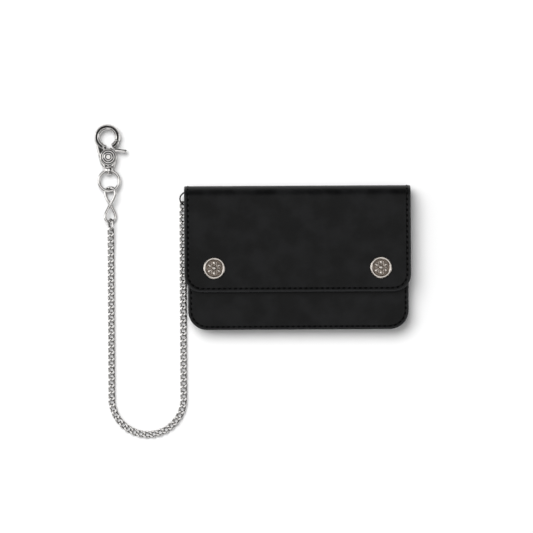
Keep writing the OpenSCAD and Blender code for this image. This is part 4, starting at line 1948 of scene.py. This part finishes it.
@dataclass
class Hook:
    """The figure-eight link, the swivel and the trigger hook.

    Attributes:
        finishes: The materials.
        swivel: Middle of the swivel ring.
        turn: Turn of the hook in the resting plane.
        swivel_radius: Radius of the swivel ring at the middle of its wire.
        swivel_wire: Radius of its wire.
        eye: Height of the eye's middle above the swivel.
        eye_radii: Inner and outer radius of the eye.
        thickness: Thickness of the hook.
        pivot: Place of the gate's pivot.
        cheek: Radius of the cheeks.
        eight_x: Where the figure-eight link lies.
        eight_top: Its upper end at the middle of its wire.
        eight_half: Half its length.
        eight_wire: Radius of its wire.
    """

    eight_x: ClassVar[float] = -128.25
    eight_top: ClassVar[float] = 48.7
    eight_half: ClassVar[float] = 11.8
    eight_wire: ClassVar[float] = 1.02

    finishes: Finishes
    swivel: tuple[float, float, float] = (-129.0, 53.3, 3.5)
    turn: float = 2.0
    swivel_radius: float = 7.0
    swivel_wire: float = 1.1
    eye: float = 29.9
    eye_radii: tuple[float, float] = (5.1, 9.15)
    thickness: float = 5.2
    pivot: tuple[float, float] = (0.2, 16.4)
    cheek: float = 5.9

    def set_in(self, surface: Surface) -> Surface:
        """Moves a surface from the hook's own frame to its place."""
        return placed(surface, self.swivel, 0.0, self.turn)

    def upright(
        self, profile: list[tuple[float, float]], steps: int, flat: float = 1.0
    ) -> Surface:
        """A turned part about the hook's long axis.

        Args:
            profile: Its profile as (radius, way along y).
            steps: Points round.
            flat: Its thickness as a share of its width.

        Returns:
            The part in the hook's frame.
        """
        made = revolved(profile, steps)
        made.points = made.points[:, [0, 2, 1]] * [1.0, 1.0, flat]
        return made

    def eight(self) -> Surface:
        """The figure-eight link: x is a sine of twice the turn, y a cosine, and its legs pass
        over and under each other half way, flatter towards both ends.

        Returns:
            The link in its place.
        """
        t = np.linspace(0, 2 * np.pi, 96, endpoint=False)
        s = np.sin(t)
        path = np.stack([
            3.5 * np.sin(2 * t), self.eight_half * np.cos(t),
            2.5 * s / np.sqrt(s * s + 0.05) * (1 - 0.5 * s**8)], 1)
        made = wire_loop(path, self.eight_wire, 20)
        # The low side of the wire is painted dark as shade.
        made.masks = underside(made, path, self.eight_wire)
        return placed(made, (self.eight_x, self.eight_top - self.eight_half, self.swivel[2]))

    def arc(
        self, start: float, end: float, half: tuple[float, float], steps: int, inset: float
    ) -> Surface:
        """A stretch of the eye: a superellipse carried along an arc, its ends drawn in.

        Args:
            start: First angle in degrees.
            end: Last angle in degrees.
            half: Half width and half thickness of the section.
            steps: Rings along.
            inset: How far the section shrinks at both ends, as a share.

        Returns:
            The arc in the hook's frame.
        """
        a = np.radians(np.linspace(start, end, steps))
        middle = sum(self.eye_radii) / 2
        path = np.stack([middle * np.cos(a), self.eye + middle * np.sin(a), 0 * a], 1)
        out = np.stack([np.cos(a), np.sin(a), 0 * a], 1)
        share = np.linspace(0, 1, steps)
        end_in = 1 - inset * (np.exp(-share * steps * 0.9) + np.exp(-(1 - share) * steps * 0.9))
        flat = oval_section(*half, 72, 2.4, (0.55, 0.12, 0.26))
        made = swept(path, out, flat[None] * end_in[:, None, None], False)
        # The "hollow" value on the face's groove and the underside is painted dark as shade.
        groove = bump_at(flat[:, 0] / half[0], 0.12, 0.38)
        low = smooth_rise(abs(flat[:, 1]) / half[1], 0.62, 0.3)
        low = low * smooth_rise(abs(flat[:, 0]) / half[0], 0.8, 0.9)
        made.masks = {"hollow": np.tile(np.maximum(groove, low), steps)}
        return made

    def neck(self) -> Surface:
        """The neck: sections up the hook's axis whose sides follow its two contours.

        Returns:
            The neck in the hook's frame.
        """
        y = np.linspace(9.25, 26.5, 36)
        left = np.interp(y, [9.2, 11.5, 14.5, 18, 21, 24, 26.5], [-3.9, -5.3, -6.2, -6.9, -7.5, -7.9, -8.1])
        right = np.interp(
            y, [9.2, 11.5, 13.4, 16, 18, 21, 24, 26.5], [3.9, 5.0, 5.2, 3.6, -0.3, -1.3, -2.2, -3.2])
        thick = np.interp(y, [9.2, 11, 14, 21, 26.5], [2.2, 2.35, 2.3, 2.2, 2.3])
        path = np.stack([(left + right) / 2, y, 0 * y], 1)
        base = oval_section(1.0, 1.0, 60, 3.0, (0.66, 0.02, 0.45))
        section = base[None] * np.stack([(right - left) / 2, thick], 1)[:, None, :]
        across = np.tile([1.0, 0.0, 0.0], (len(y), 1))
        straight = swept(path * [0, 1, 1], across, section, False)
        straight.points += np.repeat(path * [1, 0, 0], 60, 0)
        # The "hollow" value on the neck's groove and underside is painted dark as shade.
        low = smooth_rise(abs(base[:, 1]), 0.6, 0.3) * smooth_rise(abs(base[:, 0]), 0.8, 0.9)
        straight.masks = {"hollow": np.tile(np.maximum(bump_at(base[:, 0], 0.02, 0.6), low), len(y))}
        return straight

    def cheeks(self) -> list[Surface]:
        """Two round cheeks with a stepped boss, one each side of the gate's slot.

        Returns:
            The two cheeks in the hook's frame.
        """
        r = self.cheek
        profile = [(0, 1.32), (r - 0.5, 1.32), (r - 0.15, 1.5), (r, 1.9), (r - 0.25, 2.35), (r - 0.8, 2.55),
                   (r - 1.15, 2.25), (r - 1.5, 2.6), (r - 2.0, 2.72), (3.55, 2.6), (3.3, 2.45), (0, 2.45)]
        parts = []
        for up in (1, -1):
            made = revolved(profile, 72)
            far = np.hypot(made.points[:, 0], made.points[:, 1])
            # The "hollow" rings on the cheeks are painted dark as shade.
            made.masks = {"hollow": np.maximum(bump_at(far, r - 1.15, 0.52), bump_at(far, 3.4, 0.5))}
            made.points = made.points * [1, 1, up] + [*self.pivot, 0]
            if up < 0:
                made.faces = [f[::-1] for f in made.faces]
            parts.append(made)
        return parts

    def gate(self) -> Surface:
        """The gate: the eye's closing stretch, its arm between the cheeks and the thumb lever.

        Returns:
            The gate in the hook's frame.
        """
        closing = self.arc(-23.6, -64, (1.95, 2.2), 20, 0.25)
        x = np.linspace(4.9, 13.0, 16)
        path = np.stack([x, 20.7 - 0.9 * smooth_rise(x, 4.9, 13.0), 0 * x], 1)
        half = np.interp(x, [4.9, 7, 11.5, 12.6, 13.0], [1.35, 1.15, 1.15, 1.0, 0.5])
        deep = np.interp(x, [4.9, 11.5, 12.6, 13.0], [2.15, 2.1, 1.7, 1.0])
        section = oval_section(1.0, 1.0, 20, 3.0)[None] * np.stack([half, deep], 1)[:, None, :]
        lever = swept(path, np.tile([0.0, 1.0, 0.0], (len(x), 1)), section, False)
        arm_y = np.linspace(0, 1, 8)
        arm_path = np.stack([self.pivot[0] + 3.6 * arm_y, self.pivot[1] + 5.0 * arm_y, 0.55 + 0 * arm_y], 1)
        arm = swept(arm_path, np.tile([1.0, 0.0, 0.0], (8, 1)), oval_section(2.3, 0.6, 16, 3.5), False)
        # The "hollow" value on one side of the lever, and on the whole arm between the cheeks, is painted
        # dark as shade.
        lever.masks = {"hollow": np.tile(smooth_rise(section[0, :, 0] / half[0], -0.05, 0.45), len(x))}
        arm.masks = {"hollow": np.ones(len(arm.points))}
        return joined([closing, lever, arm])

    def spring(self) -> Surface:
        """The gate's spring: two and a half turns of a helix round the pivot.

        Returns:
            The spring in the hook's frame.
        """
        t = np.linspace(0, 2.5, 90)
        a = 2 * np.pi * t
        path = np.stack([2.3 * np.cos(a), 2.3 * np.sin(a), -1.05 + 0.24 * t], 1) + [*self.pivot, 0]
        out = np.stack([np.cos(a), np.sin(a), 0 * a], 1)
        return swept(path, out, oval_section(0.11, 0.11, 8), False)

    def build(self) -> None:
        """Builds every metal part from the figure-eight link to the rivet."""
        f = self.finishes
        dressed("crossed_link", self.eight(), f.hook, "eight", ("figure_eight_link",))
        a = np.linspace(0, 2 * np.pi, 96, endpoint=False)
        path = self.swivel_radius * np.stack([np.cos(a), np.sin(a), 0 * a], 1)
        hoop = swept(path, path, oval_section(self.swivel_wire, self.swivel_wire, 24), True)
        # The low side of the swivel hoop is painted dark as shade.
        hoop.masks = underside(hoop, path, self.swivel_wire)
        boss = [(1.4, 6.05), (2.5, 6.05), (2.95, 6.4), (3.1, 7.2), (2.95, 8.3), (2.6, 8.85), (1.4, 8.85),
                (1.4, 6.05)]
        dressed("swivel_hoop", self.set_in(hoop), f.hook, "eye", ("swivel_ring",))
        dressed("swivel_boss", self.set_in(self.upright(boss, 48, 0.86)), f.hook, "eye", weld=True)
        head = [(0.0, 3.95), (1.1, 4.0), (1.85, 4.35), (2.0, 4.8), (1.8, 5.25), (1.3, 5.38), (1.22, 5.5),
                (1.22, 11.8), (0.0, 11.8)]
        dressed("swivel_pin", self.set_in(self.upright(head, 40)), f.hook, "hook",
                ("swivel_post",), weld=True)
        wide = (self.eye_radii[1] - self.eye_radii[0]) / 2
        casting = joined([
            self.arc(-20.5, 262, (wide, self.thickness / 2 - 0.02), 96, 0.12), self.neck(),
            *self.plain(self.cheeks())])
        dressed("hook_casting", self.set_in(casting), f.hook, "hook", ("hook_body",), weld=True)
        collar = [(0.0, 8.95), (4.0, 8.95), (4.5, 9.15), (4.6, 9.6), (4.2, 10.05), (3.4, 10.2),
                  (0.0, 10.2)]
        dressed("hook_collar", self.set_in(self.upright(collar, 56, 0.6)), f.hook,
                "hook", weld=True)
        dressed("trigger_gate", self.set_in(self.gate()), f.hook, "gate",
                ("hook_gate",), weld=True)
        dressed("gate_coil", self.set_in(self.spring()), f.zip, "hook", ("gate_spring",))
        rivet = [(0.0, -3.35), (1.6, -3.25), (2.9, -2.95), (3.25, -2.75), (3.25, -2.6), (1.38, -2.6),
                 (1.38, 2.6), (3.25, 2.6), (3.25, 2.75), (2.9, 2.95), (2.3, 3.12), (1.9, 3.02), (1.5, 3.2),
                 (0.0, 3.38)]
        pin = revolved(rivet, 48)
        # The "hollow" ring round the rivet head is painted dark as shade.
        pin.masks = {"hollow": bump_at(np.hypot(pin.points[:, 0], pin.points[:, 1]), 1.9, 0.55)}
        pin.points = pin.points + [*self.pivot, 0]
        dressed("pivot_pin", self.set_in(pin), f.hook, "hook", ("pivot_rivet",), weld=True)

    @staticmethod
    def plain(parts: list[Surface]) -> list[Surface]:
        """Gives turned parts the empty pattern map that swept ones have."""
        for part in parts:
            part.uv = np.zeros((len(part.points), 2))
        return parts


# ---- studio ---------------------------------------------------------------------------------


@dataclass(frozen=True)
class SoftBox:
    """A round soft box, far away.

    Attributes:
        bearing: Its direction round the table in degrees, 0 along +X.
        height: Its height above the table in degrees.
        reach: Its radius in degrees.
        bright: Its brightness, where the lit floor is about 1.
    """

    bearing: float
    height: float
    reach: float
    bright: float

    def direction(self) -> tuple[float, float, float]:
        """The direction towards its middle."""
        a, h = math.radians(self.bearing), math.radians(self.height)
        return (math.cos(a) * math.cos(h), math.sin(a) * math.cos(h), math.sin(h))


@dataclass
class Studio:
    """A pale floor, soft light from the upper left, and a long lens straight above.

    Attributes:
        view: Middle of the picture on the floor, in millimetres.
        width: Width of the picture there.
        distance: Height of the camera above it.
        roll: Turn of the picture in degrees.
        floor: Level of the floor.
        key: Power of the main light in watts.
        key_size: Width of the main light in metres.
        key_at: Its place in metres.
        room: Light of the dim room itself.
        boxes: The soft boxes round the table.
    """

    view: tuple[float, float] = (-21.3, -6.0)
    width: float = 366.0
    distance: float = 3400.0
    roll: float = 0.3
    floor: float = -0.12
    key: float = 106.0
    key_size: float = 2.6
    key_at: tuple[float, float, float] = (-0.90, 1.42, 2.85)
    room: float = 0.025
    boxes: tuple[SoftBox, ...] = (
        SoftBox(0, 90, 34, 0.92), SoftBox(172, 30, 20, 1.9), SoftBox(-8, 22, 12, 1.3),
        SoftBox(-100, 24, 13, 1.2))

    def lay_floor(self) -> None:
        """Lays the floor with a faintly uneven, pale finish."""
        mesh = bpy.data.meshes.new("floor")
        half = 4.0
        z = self.floor * MM
        corners = [(-half, -half, z), (half, -half, z), (half, half, z), (-half, half, z)]
        mesh.from_pydata(corners, [], [(0, 1, 2, 3)])
        floor = bpy.data.objects.new("floor", mesh)
        bpy.context.scene.collection.objects.link(floor)
        material, tree, shader = started("pale floor")
        tone = tree.noise(in_place(tree), 3.0, 2.0)
        tree.feed(shader.inputs["Base Color"], tree.mix(tone, grey(0.90), grey(0.93)))
        shader.inputs["Roughness"].default_value = 0.7
        mesh.materials.append(material)

    def light(self) -> None:
        """Hangs the main light, which no gloss shows, and sets the soft boxes in a dim room."""
        lamp = bpy.data.lights.new("key", "AREA")
        lamp.shape = "DISK"
        lamp.size = self.key_size
        lamp.energy = self.key
        key = bpy.data.objects.new("key", lamp)
        bpy.context.scene.collection.objects.link(key)
        place = np.array(self.key_at)
        key.location = place
        aim = -(place - np.array([self.view[0] * MM, self.view[1] * MM, 0]))
        key.rotation_euler = lamp_turn(aim)
        key.visible_glossy = False
        world = bpy.data.worlds.new("studio")
        world.use_nodes = True
        bpy.context.scene.world = world
        tree = Tree(world.node_tree)
        back = world.node_tree.nodes["Background"]
        way = tree.node("ShaderNodeTexCoord").outputs["Generated"]
        total: object = self.room
        for box in self.boxes:
            made = tree.node("ShaderNodeVectorMath", operation="DOT_PRODUCT")
            tree.feed(made.inputs[0], way)
            tree.feed(made.inputs[1], box.direction())
            near, far = (math.cos(math.radians(box.reach * k)) for k in (0.8, 1.2))
            total = tree.plus(total, tree.between(made.outputs["Value"], far, near, 0.0, box.bright))
        tree.feed(back.inputs["Color"], total)
        back.inputs["Strength"].default_value = 1.0

    def camera(self) -> None:
        """Sets the camera: its lens is the distance over the width, times the sensor."""
        data = bpy.data.cameras.new("camera")
        sensor = 36.0
        data.sensor_width = sensor
        data.lens = sensor * self.distance / self.width
        data.clip_end = 20.0
        camera = bpy.data.objects.new("camera", data)
        bpy.context.scene.collection.objects.link(camera)
        camera.location = (self.view[0] * MM, self.view[1] * MM, self.distance * MM)
        camera.rotation_euler = (0.0, 0.0, math.radians(-self.roll))
        bpy.context.scene.camera = camera
        bpy.context.scene.view_settings.view_transform = "Standard"

    def build(self) -> None:
        """Sets up camera, floor and light."""
        self.camera()
        self.lay_floor()
        self.light()


def lamp_turn(aim: Array) -> tuple[float, float, float]:
    """The turn that points a lamp's -Z along a direction, as Euler angles."""
    x, y, z = aim / np.linalg.norm(aim)
    return (math.acos(-z), 0.0, math.atan2(y, x) - math.pi / 2)


def main() -> None:
    """Builds the studio and every sub-assembly."""
    logging.basicConfig(level=logging.INFO, format="%(name)s: %(message)s")
    Studio().build()
    finishes = Finishes()
    for part in (Shell, Pockets, Snaps, CoinZip, WalletRing, Chain, Hook):
        LOG.info("building %s", part.__name__)
        part(finishes).build()


if __name__ == "__main__":
    main()
